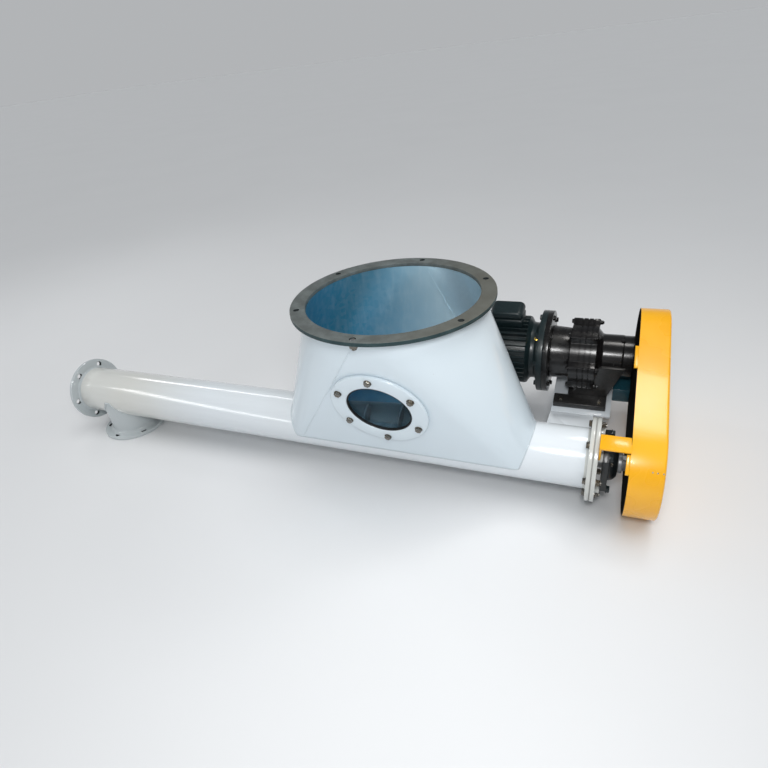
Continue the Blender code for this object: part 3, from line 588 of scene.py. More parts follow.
# %% Refined copies and holes
def refined(node, finish, edge=0.0012, segments=2, name=None):
    """A node's own shape with its edges rounded, ready to stand for it."""
    bm = bmesh.new()
    bm.from_mesh(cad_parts[node].data)
    bmesh.ops.remove_doubles(bm, verts=bm.verts, dist=1e-5)
    bmesh.ops.dissolve_limit(bm, angle_limit=math.radians(1.5), verts=bm.verts, edges=bm.edges)
    piece = add_piece(name or node + "_finished", bm, finish)
    bevel = piece.modifiers.new("edges", "BEVEL")
    bevel.width = edge
    bevel.segments = segments
    bevel.limit_method = "ANGLE"
    bevel.angle_limit = math.radians(28)
    settle(piece)
    shade(piece.data)
    return piece


def cut_away(piece, cutter, dark_walls=False):
    """Takes the cutter's shape out of a piece. Dark walls keep the finish that the cutter has."""
    step = piece.modifiers.new("cut", "BOOLEAN")
    step.object = cutter
    if dark_walls:
        step.material_mode = "TRANSFER"
    settle(piece)
    bpy.data.objects.remove(cutter)
    shade(piece.data)


def cut_holes(piece, centres, axis, up, radius, depth, chamfer=0.0012):
    """Drills round holes whose walls are near-black as painted shade, and whose lips are chamfered, as a
    deburred hole is.
    """
    bm = bmesh.new()
    wide = radius + chamfer
    half = 0.5 * depth
    past = half + 0.02
    outline = [(-past, 0), (-past, wide), (-half, wide), (-half + chamfer, radius),
               (half - chamfer, radius), (half, wide), (past, wide), (past, 0)]
    for centre in centres:
        add_lathe(bm, outline, centre, axis, up, 24)
    cut_away(piece, add_piece("drill", bm, hole_wall), dark_walls=True)


print("copies and holes can be made")

# %% [markdown]
# ## What the Geometry Nodes trees share
# Bolts, welds, flights, chain links and fins all repeat by one rule, and each rule is a Geometry Nodes tree.
# A tree takes a mesh and some named inputs, and ends by making its copies real and giving them a finish.
# The inputs are set by their identifiers before the first evaluation.

# %% Start, end and run a tree
def new_tree(name, inputs):
    """An empty tree, its graph helper and a way to read its inputs."""
    tree = bpy.data.node_groups.new(name, "GeometryNodeTree")
    tree.interface.new_socket("Geometry", in_out="INPUT", socket_type="NodeSocketGeometry")
    for title, kind in inputs.items():
        tree.interface.new_socket(title, in_out="INPUT", socket_type="NodeSocket" + kind)
    tree.interface.new_socket("Geometry", in_out="OUTPUT", socket_type="NodeSocketGeometry")
    graph = Graph(tree)
    source = tree.nodes.new("NodeGroupInput")

    def read(title):
        return Wire(graph, source.outputs[title])

    return tree, graph, read


def end_tree(graph, geometry, finish):
    real = graph.node("GeometryNodeRealizeInstances", {}, {"Geometry": geometry})
    made = graph.node("GeometryNodeSetMaterial", {}, {"Geometry": real, "Material": finish})
    shaded = graph.node("GeometryNodeSetShadeSmooth", {}, {"Geometry": made, "Shade Smooth": False})
    graph.node("NodeGroupOutput", {}, {"Geometry": shaded})


def run_tree(piece, tree, inputs):
    modifier = piece.modifiers.new(tree.name, "NODES")
    modifier.node_group = tree
    for item in tree.interface.items_tree:
        if item.in_out == "INPUT" and item.name in inputs:
            modifier[item.identifier] = inputs[item.name]
    return settle(piece)


print("trees can be made and run")

# %% [markdown]
# ## Bolts by Geometry Nodes
# Every bolted joint repeats one bolt on a pattern of points. The tree puts a template on each vertex of the
# piece, turns it to face the joint and gives it a random spin, since no fitter leaves the hexagons lined
# up. The spin has a fixed seed.

# %% The bolt tree
def make_bolt_tree():
    tree, graph, read = new_tree("bolts_on_points", {"Template": "Object", "Facing": "Vector",
                                                     "Size": "Float", "Seed": "Int", "Finish": "Material"})
    shape = graph.node("GeometryNodeObjectInfo", {}, {"Object": read("Template")}, out="Geometry")
    facing = graph.node("FunctionNodeEulerToRotation", {}, {"Euler": read("Facing")})
    angle = graph.node("FunctionNodeRandomValue", {"data_type": "FLOAT"},
                       {"Min_001": 0.0, "Max_001": 2 * math.pi, "Seed": read("Seed")}, out="Value_001")
    spin = graph.node("ShaderNodeCombineXYZ", {}, {"Z": angle})
    spin = graph.node("FunctionNodeEulerToRotation", {}, {"Euler": spin})
    turned = graph.node("FunctionNodeRotateRotation", {"rotation_space": "LOCAL"},
                        {"Rotation": facing, "Rotate By": spin})
    copies = graph.node("GeometryNodeInstanceOnPoints", {}, {"Points": read("Geometry"), "Instance": shape,
                                                            "Rotation": turned, "Scale": read("Size")})
    end_tree(graph, copies, read("Finish"))
    return tree


bolt_tree = make_bolt_tree()
print("made the tree", bolt_tree.name)

# %% [markdown]
# ## Bolt templates
# Two templates do for all joints: a head on its washer, and a nut on its washer with the bolt's end past
# it. Both have the sizes of an M12 bolt, and the tree's Size input scales them to the others.

# %% Bolt templates
def add_hexagon(bm, low, high, across, chamfer):
    """A hexagon head along Z with its upper corners turned off."""
    corner = across / math.sqrt(3)
    stations = ((low, corner), (high - chamfer, corner), (high, corner - 1.3 * chamfer))
    rings = [[bm.verts.new(p) for p in circle(h * Z, r, Z, Y, 6)] for h, r in stations]
    join_rings(bm, rings, caps=True)


M12_ACROSS, M12_HEAD, M12_NUT, M12_SHANK_R = 0.018, 0.0075, 0.010, 0.006
M12_WASHER_R, M12_WASHER_T = 0.012, 0.0022


def bolt_template(name, height, end=0.0):
    """A washer under a hexagon, with the bolt's end past it if it is a nut."""
    bm = bmesh.new()
    washer = rounded(solid((0, M12_WASHER_R), (M12_WASHER_T, M12_WASHER_R)), 0.0004, 1)
    add_lathe(bm, washer, Vector(), Z, Y, 20)
    add_hexagon(bm, M12_WASHER_T, M12_WASHER_T + height, M12_ACROSS, 0.0012)
    if end:
        top = M12_WASHER_T + height
        add_lathe(bm, solid((top - 0.002, M12_SHANK_R), (top + end, M12_SHANK_R)), Vector(), Z, Y, 12)
    return add_piece(name, bm)


bolt_head = bolt_template("template_bolt_head", M12_HEAD)
bolt_nut = bolt_template("template_bolt_nut", M12_NUT, 0.004)
templates = [bolt_head, bolt_nut]
print("made", bolt_head.name, "and", bolt_nut.name)

# %% [markdown]
# ## Bolts on a pattern
# A row or circle of bolts starts as bare vertices, one for each bolt. The tree is then run on them with the
# template, the way that the heads face and the size.

# %% Bolts on a pattern of points
def facing(axis, up):
    """Euler angles that turn +Z to axis and +Y to up."""
    return Matrix((up.cross(axis), up, axis)).transposed().to_euler()


def bolts(name, template, points, axis, up, size=1.0, body="root", finish=None, slot="screw_steel", seed=1):
    bm = bmesh.new()
    for point in points:
        bm.verts.new(point)
    piece = add_piece(name, bm, recalculate=False)
    run_tree(piece, bolt_tree, {"Template": template, "Facing": facing(axis, up), "Size": size,
                                "Seed": seed, "Finish": finish or zinc_plate})
    print(name, len(points), "bolts,", len(piece.data.polygons), "faces")
    return stand_for(piece, slot, body)


print("bolts can be placed")

# %% [markdown]
# ## Weld beads by Geometry Nodes
# A weld follows the line where two plates meet. The tree takes that line as loose edges, makes a curve of
# it, lets its radius swell and shrink by a small sine, as the puddle does at each step of the torch, and
# sweeps a round section along it. The beads are painted over with the plates.

# %% The weld tree
def make_weld_tree():
    tree, graph, read = new_tree("weld_along_line", {"Bead Radius": "Float", "Step": "Float",
                                                     "Swell": "Float", "Finish": "Material"})
    line = graph.node("GeometryNodeMeshToCurve", {}, {"Mesh": read("Geometry")})
    even = graph.node("GeometryNodeResampleCurve", {"mode": "LENGTH"},
                      {"Curve": line, "Length": read("Step") / 3})
    length = graph.node("GeometryNodeSplineParameter", out="Length")
    wave = graph.node("ShaderNodeMath", {"operation": "SINE"}, {0: length * (2 * math.pi) / read("Step")})
    uneven = graph.noise(graph.node("GeometryNodeInputPosition"), 60.0, 2.0)
    swollen = 1 + wave * read("Swell") + (uneven - 0.5) * read("Swell") * 2
    sized = graph.node("GeometryNodeSetCurveRadius", {}, {"Curve": even, "Radius": swollen})
    section = graph.node("GeometryNodeCurvePrimitiveCircle", {},
                         {"Resolution": 8, "Radius": read("Bead Radius")})
    bead = graph.node("GeometryNodeCurveToMesh", {},
                      {"Curve": sized, "Profile Curve": section, "Fill Caps": True})
    made = graph.node("GeometryNodeSetMaterial", {}, {"Geometry": bead, "Material": read("Finish")})
    graph.node("NodeGroupOutput", {}, {"Geometry": made})
    return tree


weld_tree = make_weld_tree()
print("made the tree", weld_tree.name)

# %% [markdown]
# ## Laying a weld
# The line of a weld is a row of vertices with an edge between each two, closed or open. A ring weld is
# closed, and the seam of a bent sheet is open.

# %% Weld along a line
def weld(name, points, closed, radius, finish, slot="white_paint", swell=0.10, step=0.006):
    bm = bmesh.new()
    line = [bm.verts.new(p) for p in points]
    for first, second in zip(line, line[1:] + (line[:1] if closed else [])):
        bm.edges.new((first, second))
    piece = add_piece(name, bm, recalculate=False)
    run_tree(piece, weld_tree, {"Bead Radius": radius, "Step": step, "Swell": swell, "Finish": finish})
    print(name, len(piece.data.polygons), "faces")
    return stand_for(piece, slot, "root")


print("welds can be laid")

# %% [markdown]
# ## The tube
# The tube is a steel pipe with a long slot under the hopper and a round hole over the spout. It is one
# lathed ring with two cuts. A plain cutter for each opening is enough, because both lips are hidden.

# %% Tube
HOPPER = Vector((HOPPER_X, 0, TUBE.z))
SLOT_HALF = (0.342, 0.066)
DROP_HOLE_R = 0.068


def tube_cutter():
    bm = bmesh.new()
    straight = SLOT_HALF[0] - SLOT_HALF[1]
    outline = []
    for end in (1, -1):
        for i in range(25):
            a = math.radians(-90 + 7.5 * i)
            outline.append(HOPPER + Vector((end * (straight + SLOT_HALF[1] * math.cos(a)),
                                            end * SLOT_HALF[1] * math.sin(a), 0.012)))
    low = [bm.verts.new(p) for p in outline]
    high = [bm.verts.new(p + 0.12 * Z) for p in outline]
    join_rings(bm, [low, high], caps=True)
    hole = solid((0.25 * TUBE_R, DROP_HOLE_R), (1.5 * TUBE_R, DROP_HOLE_R))
    add_lathe(bm, hole, Vector((SPOUT_X, 0, TUBE.z)), -Z, X, 64)
    return add_piece("tube_cutter", bm)


tube = lathe("conveyor_tube_finished", white_paint, band(LEFT_X, RIGHT_X, TUBE_BORE, TUBE_R), TUBE, count=144)
cut_away(tube, tube_cutter())
stand_for(tube, "white_paint", "root", "conveyor_tube")
print("tube:", len(tube.data.polygons), "faces")

# %% [markdown]
# ## Pipe flanges
# Three like flanges sit on the tube's two ends and under the spout. Each is a flat ring with six bolt
# holes whose edges are chamfered, wider ones where nothing is bolted on yet. A fillet weld joins it to the
# pipe; on the real conveyor that fillet is filled and painted so smoothly that the pipe seems to flow into
# the flange, most of all at the spout.

# %% Flanges
FLANGE_R = radius_of("outlet_end_flange")
FLANGE_T = 0.010
HOLE_CIRCLE_R = 0.091
HOLE_R = 0.007
OPEN_HOLE_R = 0.009
FILLET = 0.0065
SPOUT_FILLET = 0.012


def fillet_outline(face, toward, pipe_r, size):
    """A hollow fillet between a flange's face and its pipe."""
    outline = [(face - 0.001 * toward, pipe_r - 0.001), (face - 0.001 * toward, pipe_r + size)]
    for i in range(7):
        a = math.radians(90 * i / 6)
        outline.append((face + toward * size * (1 - math.cos(a)), pipe_r + size * (1 - math.sin(a))))
    outline.append((face + toward * size, pipe_r - 0.001))
    return outline


def pipe_flange(node, centre, axis, up, start, toward, hole_r, fillet_size, finish):
    """A flange from start, with the pipe on the side that toward points to."""
    name = node + "_finished"
    end = start + toward * FLANGE_T
    low, high = min(start, end), max(start, end)
    bore = TUBE_BORE if node == "spout_flange" else TUBE_R - 0.0005
    flange = lathe(name, finish, band(low, high, bore, FLANGE_R), centre, axis, up, 120)
    holes = circle(centre + 0.5 * (low + high) * axis, HOLE_CIRCLE_R, axis, up, 6)
    cut_holes(flange, holes, axis, up, hole_r, FLANGE_T)
    stand_for(flange, "white_paint", "root", node)
    bm = bmesh.new()
    add_lathe(bm, fillet_outline(end, toward, TUBE_R, fillet_size), centre, axis, up, 120)
    fillet = add_piece(name + "_fillet", bm, finish)
    stand_for(fillet, "white_paint", "root")


pipe_flange("outlet_end_flange", TUBE, X, Z, LEFT_X, 1, OPEN_HOLE_R, FILLET, shaded_flange_paint)
pipe_flange("drive_end_flange", TUBE, X, Z, RIGHT_X, -1, HOLE_R, FILLET, end_paint)
SPOUT = Vector((SPOUT_X, 0, TUBE.z))
SPOUT_DROP = TUBE.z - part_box("spout_flange")[0].z
pipe_flange("spout_flange", SPOUT, -Z, X, SPOUT_DROP, -1, OPEN_HOLE_R, SPOUT_FILLET, shaded_flange_paint)
print(f"three flanges, {2 * FLANGE_R:.3f} m across, with their fillets")

# %% [markdown]
# ## The discharge spout
# The spout is a short pipe of the tube's own size, cut at its upper end to sit on the tube like a saddle. A
# point of that cut lies where a plumb line down the pipe's wall leaves the tube, so each ring of points
# comes from one square root. A weld runs along the cut.

# %% Spout
def saddle_point(angle, pipe_r, tube_r):
    """Where a pipe that hangs down from the tube's axis meets the tube's outside."""
    x, y = pipe_r * math.cos(angle), pipe_r * math.sin(angle)
    drop = math.sqrt(max(tube_r ** 2 - y ** 2, 0.0))
    return SPOUT + Vector((x, y, -drop))


def build_spout():
    """A pipe whose upper end follows the tube."""
    count = 96
    bm = bmesh.new()
    rings = []
    foot = SPOUT_DROP - 0.002
    for radius, level in ((TUBE_BORE, None), (TUBE_R, None), (TUBE_R, foot), (TUBE_BORE, foot)):
        points = []
        for i in range(count):
            a = 2 * math.pi * i / count
            if level is None:
                point = saddle_point(a, radius, TUBE_R - 0.001)
            else:
                point = SPOUT + Vector((radius * math.cos(a), radius * math.sin(a), -level))
            points.append(bm.verts.new(point))
        rings.append(points)
    join_rings(bm, rings, loop=True)
    return add_piece("discharge_spout_finished", bm, shaded_flange_paint)


stand_for(build_spout(), "white_paint", "root", "discharge_spout")
seam = [saddle_point(2 * math.pi * i / 120, TUBE_R + 0.0005, TUBE_R) for i in range(120)]
weld("spout_weld", seam, True, 0.0035, shaded_flange_paint)
print(f"spout: {SPOUT_DROP - TUBE_R:.3f} m below the tube")

# %% [markdown]
# ## The hopper
# The hopper's wall is a ruled surface: straight lines run from an oval foot on the tube to the round rim.
# Each of its two long flat sides is a triangle, because all its lines meet in one point of the rim. The
# sheet is painted outside and bare galvanised inside, so the one piece carries two finishes.

# %% Lines of the hopper's wall
WALL = 0.004
RIM_BORE_R = 0.2215
RIM_T = 0.010
FOOT_HALF = (0.3945, 0.0825)
FOOT_Z = TUBE.z - 0.005
RIM_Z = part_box("hopper_body")[1].z


def ruling(side, angle, shrink):
    """Foot and rim ends of one straight line of the wall, on the side +1 or -1 of the hopper."""
    foot_r = FOOT_HALF[1] - shrink
    rim_r = RIM_BORE_R + WALL - shrink
    reach = FOOT_HALF[0] - FOOT_HALF[1]
    c, s = math.cos(angle), math.sin(angle)
    foot = Vector((HOPPER_X + side * (reach + foot_r * c), side * foot_r * s, FOOT_Z))
    rim = Vector((HOPPER_X + side * rim_r * c, side * rim_r * s, RIM_Z))
    return foot, rim


def lift_off_tube(foot, rim, clear):
    """Moves a line's foot up to where it meets the tube."""
    def gap(t):
        point = foot.lerp(rim, t)
        return math.hypot(point.y, point.z - TUBE.z) - clear
    if gap(0.0) >= 0:
        return 0.0
    low, high = 0.0, 1.0
    for _ in range(40):
        t = 0.5 * (low + high)
        low, high = (t, high) if gap(t) < 0 else (low, t)
    return high


def wall_lines(shrink, steps):
    """Foot and rim points right round the hopper. Extra lines near its creases keep the flat sides flat."""
    lines = []
    for side in (1, -1):
        lines += [ruling(side, math.radians(-90 + 180 * i / steps), shrink) for i in range(steps + 1)]
        foot, rim = lines[-1]
        far = ruling(-side, math.radians(-90), shrink)[0]
        lines += [(foot.lerp(far, t), rim) for t in (0.03, 0.2, 0.5, 0.8, 0.97)]
    return lines


def hopper_grid(shrink, steps, levels):
    """Columns of points up the wall. All lines of a flat side share one point of the rim."""
    columns = []
    for foot, rim in wall_lines(shrink, steps):
        start = lift_off_tube(foot, rim, TUBE_R - 0.0006)
        columns.append([foot.lerp(rim, start + (1 - start) * k / levels) for k in range(levels + 1)])
    return columns


print("lines of the wall:", len(wall_lines(0.0, 48)))

# %% [markdown]
# ## The hopper's shell
# The shell has two skins, the sheet's thickness apart. The outer one is painted and the inner one is bare,
# so each face is given its finish as it is made, and the edge at the mouth counts as inside.

# %% Hopper shell
def build_hopper():
    steps, levels = 48, 10
    bm = bmesh.new()
    skins = []
    for shrink in (0.0, WALL):
        columns = hopper_grid(shrink, steps, levels)
        skins.append([[bm.verts.new(p) for p in column] for column in columns])
    outer, inner = skins
    count = len(outer)
    for i in range(count):
        j = (i + 1) % count
        for finish, skin in ((0, outer), (1, inner)):
            for k in range(levels):
                face = bm.faces.new((skin[i][k], skin[j][k], skin[j][k + 1], skin[i][k + 1]))
                face.material_index = finish
        bm.faces.new((outer[i][0], outer[j][0], inner[j][0], inner[i][0]))
        bm.faces.new((outer[i][-1], outer[j][-1], inner[j][-1], inner[i][-1])).material_index = 1
    bmesh.ops.remove_doubles(bm, verts=bm.verts, dist=1e-6)
    bmesh.ops.dissolve_degenerate(bm, edges=bm.edges, dist=1e-7)
    return add_piece("hopper_shell", bm, hopper_paint, zinc_inside)


hopper = build_hopper()
print("hopper:", len(hopper.data.polygons), "faces before its window is cut")

# %% [markdown]
# ## The window's hole
# The sight glass lies on the sloping flat front, a little left of its middle. The slope runs from the foot to
# the rim, and the way out from the sheet is square to it and to X. A round cutter along that way makes the
# hole.

# %% Hole for the window
GLASS_LEFT = 0.008
GLASS_UP = 0.201
WINDOW_R = 0.0998


def glass_place():
    """Centre of the sight glass on the flat front, and the way out from it."""
    foot = Vector((HOPPER_X - GLASS_LEFT, -FOOT_HALF[1], FOOT_Z))
    rim = Vector((HOPPER_X - GLASS_LEFT, -(RIM_BORE_R + WALL), RIM_Z))
    slope = (rim - foot).normalized()
    return foot + GLASS_UP * slope, X.cross(slope)


GLASS, GLASS_OUT = glass_place()
window = solid((-0.024, WINDOW_R), (0.024, WINDOW_R))
cut_away(hopper, lathe("window_cutter", None, window, GLASS, GLASS_OUT, X, 96))
stand_for(hopper, "hopper_paint", "root", "hopper_body")
print("hopper:", len(hopper.data.polygons), "faces")

# %% [markdown]
# ## Welds, rim and seam
# The hopper is welded to the tube right round its foot, and to the rim ring under it. Its sheet was bent
# to a cone at each end, and a fine bead shows where a bent end meets the flat front; another shows inside.
# The ring has six holes, and one of them holds a bolt put in from below, which ends just under its top.

# %% Hopper welds and the rim ring
foot_line = [column[0] for column in hopper_grid(0.0004, 48, 1)]
weld("hopper_foot_weld", foot_line, True, 0.0024, shaded_flange_paint, "hopper_paint")
rim_line = circle(Vector((HOPPER_X, 0, RIM_Z)), RIM_BORE_R + WALL, Z, X, 96)
weld("hopper_rim_weld", rim_line, True, 0.0026, hopper_paint, "hopper_paint")


def seam_along_wall(name, side, angle, shrink, radius, finish):
    foot, rim = ruling(side, math.radians(angle), shrink)
    start = lift_off_tube(foot, rim, TUBE_R + 0.002)
    line = [foot.lerp(rim, start + (0.99 - start) * k / 8) for k in range(9)]
    weld(name, line, False, radius, finish, "hopper_paint", swell=0.06, step=0.02)


seam_along_wall("hopper_front_seam", -1, 90, 0.0, 0.0015, hopper_paint)
seam_along_wall("hopper_inner_seam", 1, 86, WALL, 0.0004, zinc_inside)

RIM_CENTRE = Vector((HOPPER_X, 0, 0))
RIM_HOLE_CIRCLE_R = 0.243
rim = lathe("rim_ring", rim_steel, band(-RIM_T, 0, RIM_BORE_R, RIM_R), RIM_CENTRE, Z, X, 160, 0.0010)
# The ring's outer side takes the darker finish, which is painted shade.
rim.data.materials.append(rim_edge)
for face in rim.data.polygons:
    outward = face.normal.dot(face.center - RIM_CENTRE) > 0
    face.material_index = int(abs(face.normal.z) < 0.5 and outward)
RIM_HOLES = circle(RIM_CENTRE - 0.5 * RIM_T * Z, RIM_HOLE_CIRCLE_R, Z, X, 6)
cut_holes(rim, RIM_HOLES, Z, X, HOLE_R, RIM_T, 0.0008)
stand_for(rim, "rim_steel", "root", "hopper_rim_flange")
bolts("rim_bolt_nut", bolt_nut, [RIM_HOLES[0] - 0.5 * RIM_T * Z], -Z, X, finish=dull_plate)
shank_outline = solid((-0.012, M12_SHANK_R), (-0.0012, M12_SHANK_R))
shank_top = RIM_HOLES[0] + 0.5 * RIM_T * Z
shank = lathe("rim_bolt_shank", zinc_plate, shank_outline, shank_top, Z, X, 24, 0.0008)
stand_for(shank, "screw_steel", "root")
print("rim ring:", len(rim.data.polygons), "faces")

# %% [markdown]
# ## Sight glass
# The window is a thick pane in a hole of the hopper's front, held by a bolted ring with a soft edge. A
# black joint shows inside the ring. The pane is a real solid with a tint, so that the screw's flights can
# be seen through it, as in the photo.

# %% Sight glass
PANE_R = 0.0992
PANE_T = 0.0034
GLASS_RING = (0.0003, 0.0103, 0.088, 0.132)
GLASS_JOINT = (0.0001, 0.0080, 0.0845, 0.0884)
GLASS_BOLT_CIRCLE_R = 0.113
glass_ring = lathe("sight_glass_ring", hopper_paint, band(*GLASS_RING), GLASS, GLASS_OUT, X, 120, 0.0040)
stand_for(glass_ring, "white_paint", "root", "sight_glass_frame")
pane_outline = solid((-PANE_T, PANE_R), (0, PANE_R))
pane = lathe("sight_glass_window", sight_glass, pane_outline, GLASS, GLASS_OUT, X, 120, 0.0004)
stand_for(pane, "sight_glass", "root", "sight_glass_pane")
joint = lathe("sight_glass_joint", black_rubber, band(*GLASS_JOINT), GLASS, GLASS_OUT, X, 96)
stand_for(joint, "gasket_grey", "root")
ring_face = GLASS + GLASS_RING[1] * GLASS_OUT
glass_bolts = circle(ring_face, GLASS_BOLT_CIRCLE_R, GLASS_OUT, X, 6)
bolts("sight_glass_bolts", bolt_head, glass_bolts, GLASS_OUT, X, 0.85, finish=dull_plate, seed=4)

# %% [markdown]
# ## Drive end of the tube
# A joint and a thick end plate close the tube. Bolts go through the flange from the left, with their nuts
# on the plate. Four turned bosses hold the bearing off the plate, and the guard's bent arm is caught under
# one of the nuts.

# %% End plate, joint and bolts
gasket_low, gasket_high = ends("end_gasket")
joint = lathe("end_joint", gasket_grey, band(gasket_low, gasket_high, TUBE_BORE, FLANGE_R - 0.002), TUBE,
              count=120, edge=0.0004)
stand_for(joint, "gasket_grey", "root", "end_gasket")

FIT_GAP = 0.0003
PLATE_X = gasket_high + FIT_GAP
PLATE_END = PLATE_X + FLANGE_T
PLATE_BORE = 0.0255
BEARING_X, BEARING_FACE = ends("bearing_flange")
BEARING_HALF = 0.051
BOSS_R = 0.014
BEARING_BOLTS = [Vector((0, y, TUBE.z + z)) for y in (-BEARING_HALF, BEARING_HALF)
                 for z in (-BEARING_HALF, BEARING_HALF)]
bm = bmesh.new()
add_lathe(bm, rounded(band(PLATE_X, PLATE_END, PLATE_BORE, FLANGE_R), 0.0012), TUBE, count=120)
boss = rounded(solid((PLATE_END - 0.003, BOSS_R), (BEARING_X - FIT_GAP, BOSS_R)), 0.001)
for place in BEARING_BOLTS:
    add_lathe(bm, boss, place, count=32)
plate = add_piece("end_plate_finished", bm, end_paint)
stand_for(plate, "white_paint", "root", "drive_end_plate")

ARM_T = 0.005
ARM_BOLT = 2
END_BOLTS = circle(TUBE, HOLE_CIRCLE_R, X, Z, 6)
head_places = [p + (RIGHT_X - FLANGE_T) * X for p in END_BOLTS]
bolts("end_bolt_heads", bolt_head, head_places, -X, Z, 0.85, finish=dull_plate, seed=2)
nut_places = [p + PLATE_END * X for p in END_BOLTS]
nut_places[ARM_BOLT] = END_BOLTS[ARM_BOLT] + (PLATE_END + (FIT_GAP + ARM_T)) * X
bolts("end_bolt_nuts", bolt_nut, nut_places, X, Z, 0.85, finish=dull_plate, seed=3)

# %% [markdown]
# ## The bearing
# A square four-bolt bearing carries the screw's drive end. It is a casting, so its square flange is the
# frame's shape with soft edges, and its domed housing is turned. A rubber seal lies in the dome's mouth, and
# a grease nipple leans up towards the front.

# %% Bearing
HOUSING_BORE = 0.0208
SEAL_R = 0.0292
stand_for(refined("bearing_flange", bearing_paint, 0.0024, 3), "motor_green", "root", "bearing_flange")
HOUSING_X, HOUSING_END = ends("bearing_housing")
dome = [(HOUSING_X, HOUSING_BORE), (HOUSING_X, 0.050), (HOUSING_X + 0.012, 0.046), (HOUSING_END, 0.036),
        (HOUSING_END, 0.030), (HOUSING_END - 0.003, 0.029), (HOUSING_END - 0.003, HOUSING_BORE)]
housing = lathe("bearing_dome", bearing_paint, dome, TUBE, count=96, edge=0.0030)
stand_for(housing, "motor_green", "root", "bearing_housing")
seal_ring = band(HOUSING_END - 0.0032, HOUSING_END - 0.0012, HOUSING_BORE, SEAL_R)
seal = lathe("bearing_seal", black_rubber, seal_ring, TUBE, count=64, edge=0.0005)
stand_for(seal, "motor_green", "root")
bearing_heads = [p + BEARING_FACE * X for p in BEARING_BOLTS]
bolts("bearing_bolts", bolt_head, bearing_heads, X, Z, 0.9, finish=motor_green, slot="motor_green", seed=5)
nipple_outline = [(0.044, 0.0), (0.044, 0.0042), (0.0510, 0.0042), (0.0525, 0.0022), (0.0555, 0.0030),
                  (0.0575, 0.0016), (0.0575, 0.0)]
nipple_way = (UP - ALONG).normalized()
nipple_foot = TUBE + (HOUSING_X + 0.007) * X
nipple = lathe("grease_nipple", dull_plate, nipple_outline, nipple_foot, nipple_way, X, 16, 0.0003)
stand_for(nipple, "motor_green", "root")
print("bearing dome:", len(housing.data.polygons), "faces")

# %% [markdown]
# ## The screw's shaft
# The screw is a pipe that carries the flight, with a thinner stub which runs through the bearing and ends
# in a key for the sprocket. Only the stub shows, so the whole shaft is one turned outline with a step. The
# reducer's slow shaft has a like key.

# %% Screw shaft, collar and keys
SHAFT_R = 0.030
STUB_R = 0.020
SHAFT_X, STUB_END = ends("screw_shaft")
STEP_X = RIGHT_X - 0.012
shaft_outline = solid((SHAFT_X, SHAFT_R), (STEP_X, SHAFT_R), (STEP_X, STUB_R), (STUB_END, STUB_R))
shaft = lathe("screw_shaft_turned", shaft_steel, shaft_outline, TUBE, count=64, edge=0.0014)
stand_for(shaft, "screw_steel", "screw", "screw_shaft")
collar_ring = band(HOUSING_END + 0.0004, HOUSING_END + 0.0104, 0.0198, 0.0268)
collar = lathe("bearing_collar", screw_steel, collar_ring, TUBE, count=48)
stand_for(collar, "screw_steel", "screw")


def key_bar(name, start, end, half_width, low, high, centre, body):
    """A square key along the top of a shaft."""
    bm = bmesh.new()
    corners = ((-half_width, low), (half_width, low), (half_width, high), (-half_width, high))
    rings = []
    for x in (start, end):
        rings.append([bm.verts.new(Vector((x, centre.y, centre.z)) + s * ALONG + u * UP) for s, u in corners])
    join_rings(bm, rings, caps=True)
    key = add_piece(name, bm, shaft_steel)
    edge = key.modifiers.new("edges", "BEVEL")
    edge.width = 0.0006
    edge.segments = 2
    settle(key)
    stand_for(key, "screw_steel", body)


KEY_HALF = 0.006
KEY_END = STUB_END - 0.004
key_bar("screw_key", HOUSING_END + 0.0106, KEY_END, KEY_HALF, 0.0165, 0.0232, TUBE, "screw")
slow_key_x = ends("reducer_output_housing")[1] + 0.004
key_bar("reducer_key", slow_key_x, KEY_END, KEY_HALF, 0.019, 0.0256, REDUCER, "output")
print(f"screw shaft: {STUB_END - SHAFT_X:.3f} m long, with its collar and two keys")

# %% [markdown]
# ## The flight by Geometry Nodes
# A screw's flight follows one rule: the angle grows with the way along the shaft. So the tree takes a flat
# grid and winds it up: one side of the grid becomes the angle, the other the radius. The pitch, the number
# of turns and both radii are inputs. A Solidify modifier then gives the sheet its thickness.

# %% The flight tree
def make_flight_tree():
    tree, graph, read = new_tree("wound_flight", {"Turns": "Float", "Pitch": "Float", "Inner Radius": "Float",
                                                  "Outer Radius": "Float", "Start": "Vector", "Steps": "Int",
                                                  "Finish": "Material"})
    grid = graph.node("GeometryNodeMeshGrid", {}, {"Size X": 1.0, "Size Y": 1.0, "Vertices X": read("Steps"),
                                                   "Vertices Y": 4}, out="Mesh")
    where = graph.node("GeometryNodeInputPosition")
    x = graph.node("ShaderNodeSeparateXYZ", {}, {"Vector": where}, out="X") + 0.5
    y = graph.node("ShaderNodeSeparateXYZ", {}, {"Vector": where}, out="Y") + 0.5
    angle = x * read("Turns") * (2 * math.pi)
    radius = read("Inner Radius") + y * (read("Outer Radius") - read("Inner Radius"))
    cosine = graph.node("ShaderNodeMath", {"operation": "COSINE"}, {0: angle})
    sine = graph.node("ShaderNodeMath", {"operation": "SINE"}, {0: angle})
    helix = {"X": x * read("Turns") * read("Pitch"), "Y": radius * cosine, "Z": radius * sine}
    wound = graph.node("ShaderNodeCombineXYZ", {}, helix)
    placed = graph.node("ShaderNodeVectorMath", {"operation": "ADD"}, {0: wound, 1: read("Start")})
    moved = graph.node("GeometryNodeSetPosition", {}, {"Geometry": grid, "Position": placed})
    end_tree(graph, moved, read("Finish"))
    return tree


flight_tree = make_flight_tree()
print("made the tree", flight_tree.name)

# %% [markdown]
# ## Winding the flight
# The pitch is guessed from usual practice for a screw of this size, since only two arcs of it show through
# the glass. One flight runs the whole way, from the outlet to the drive end of the feed slot.

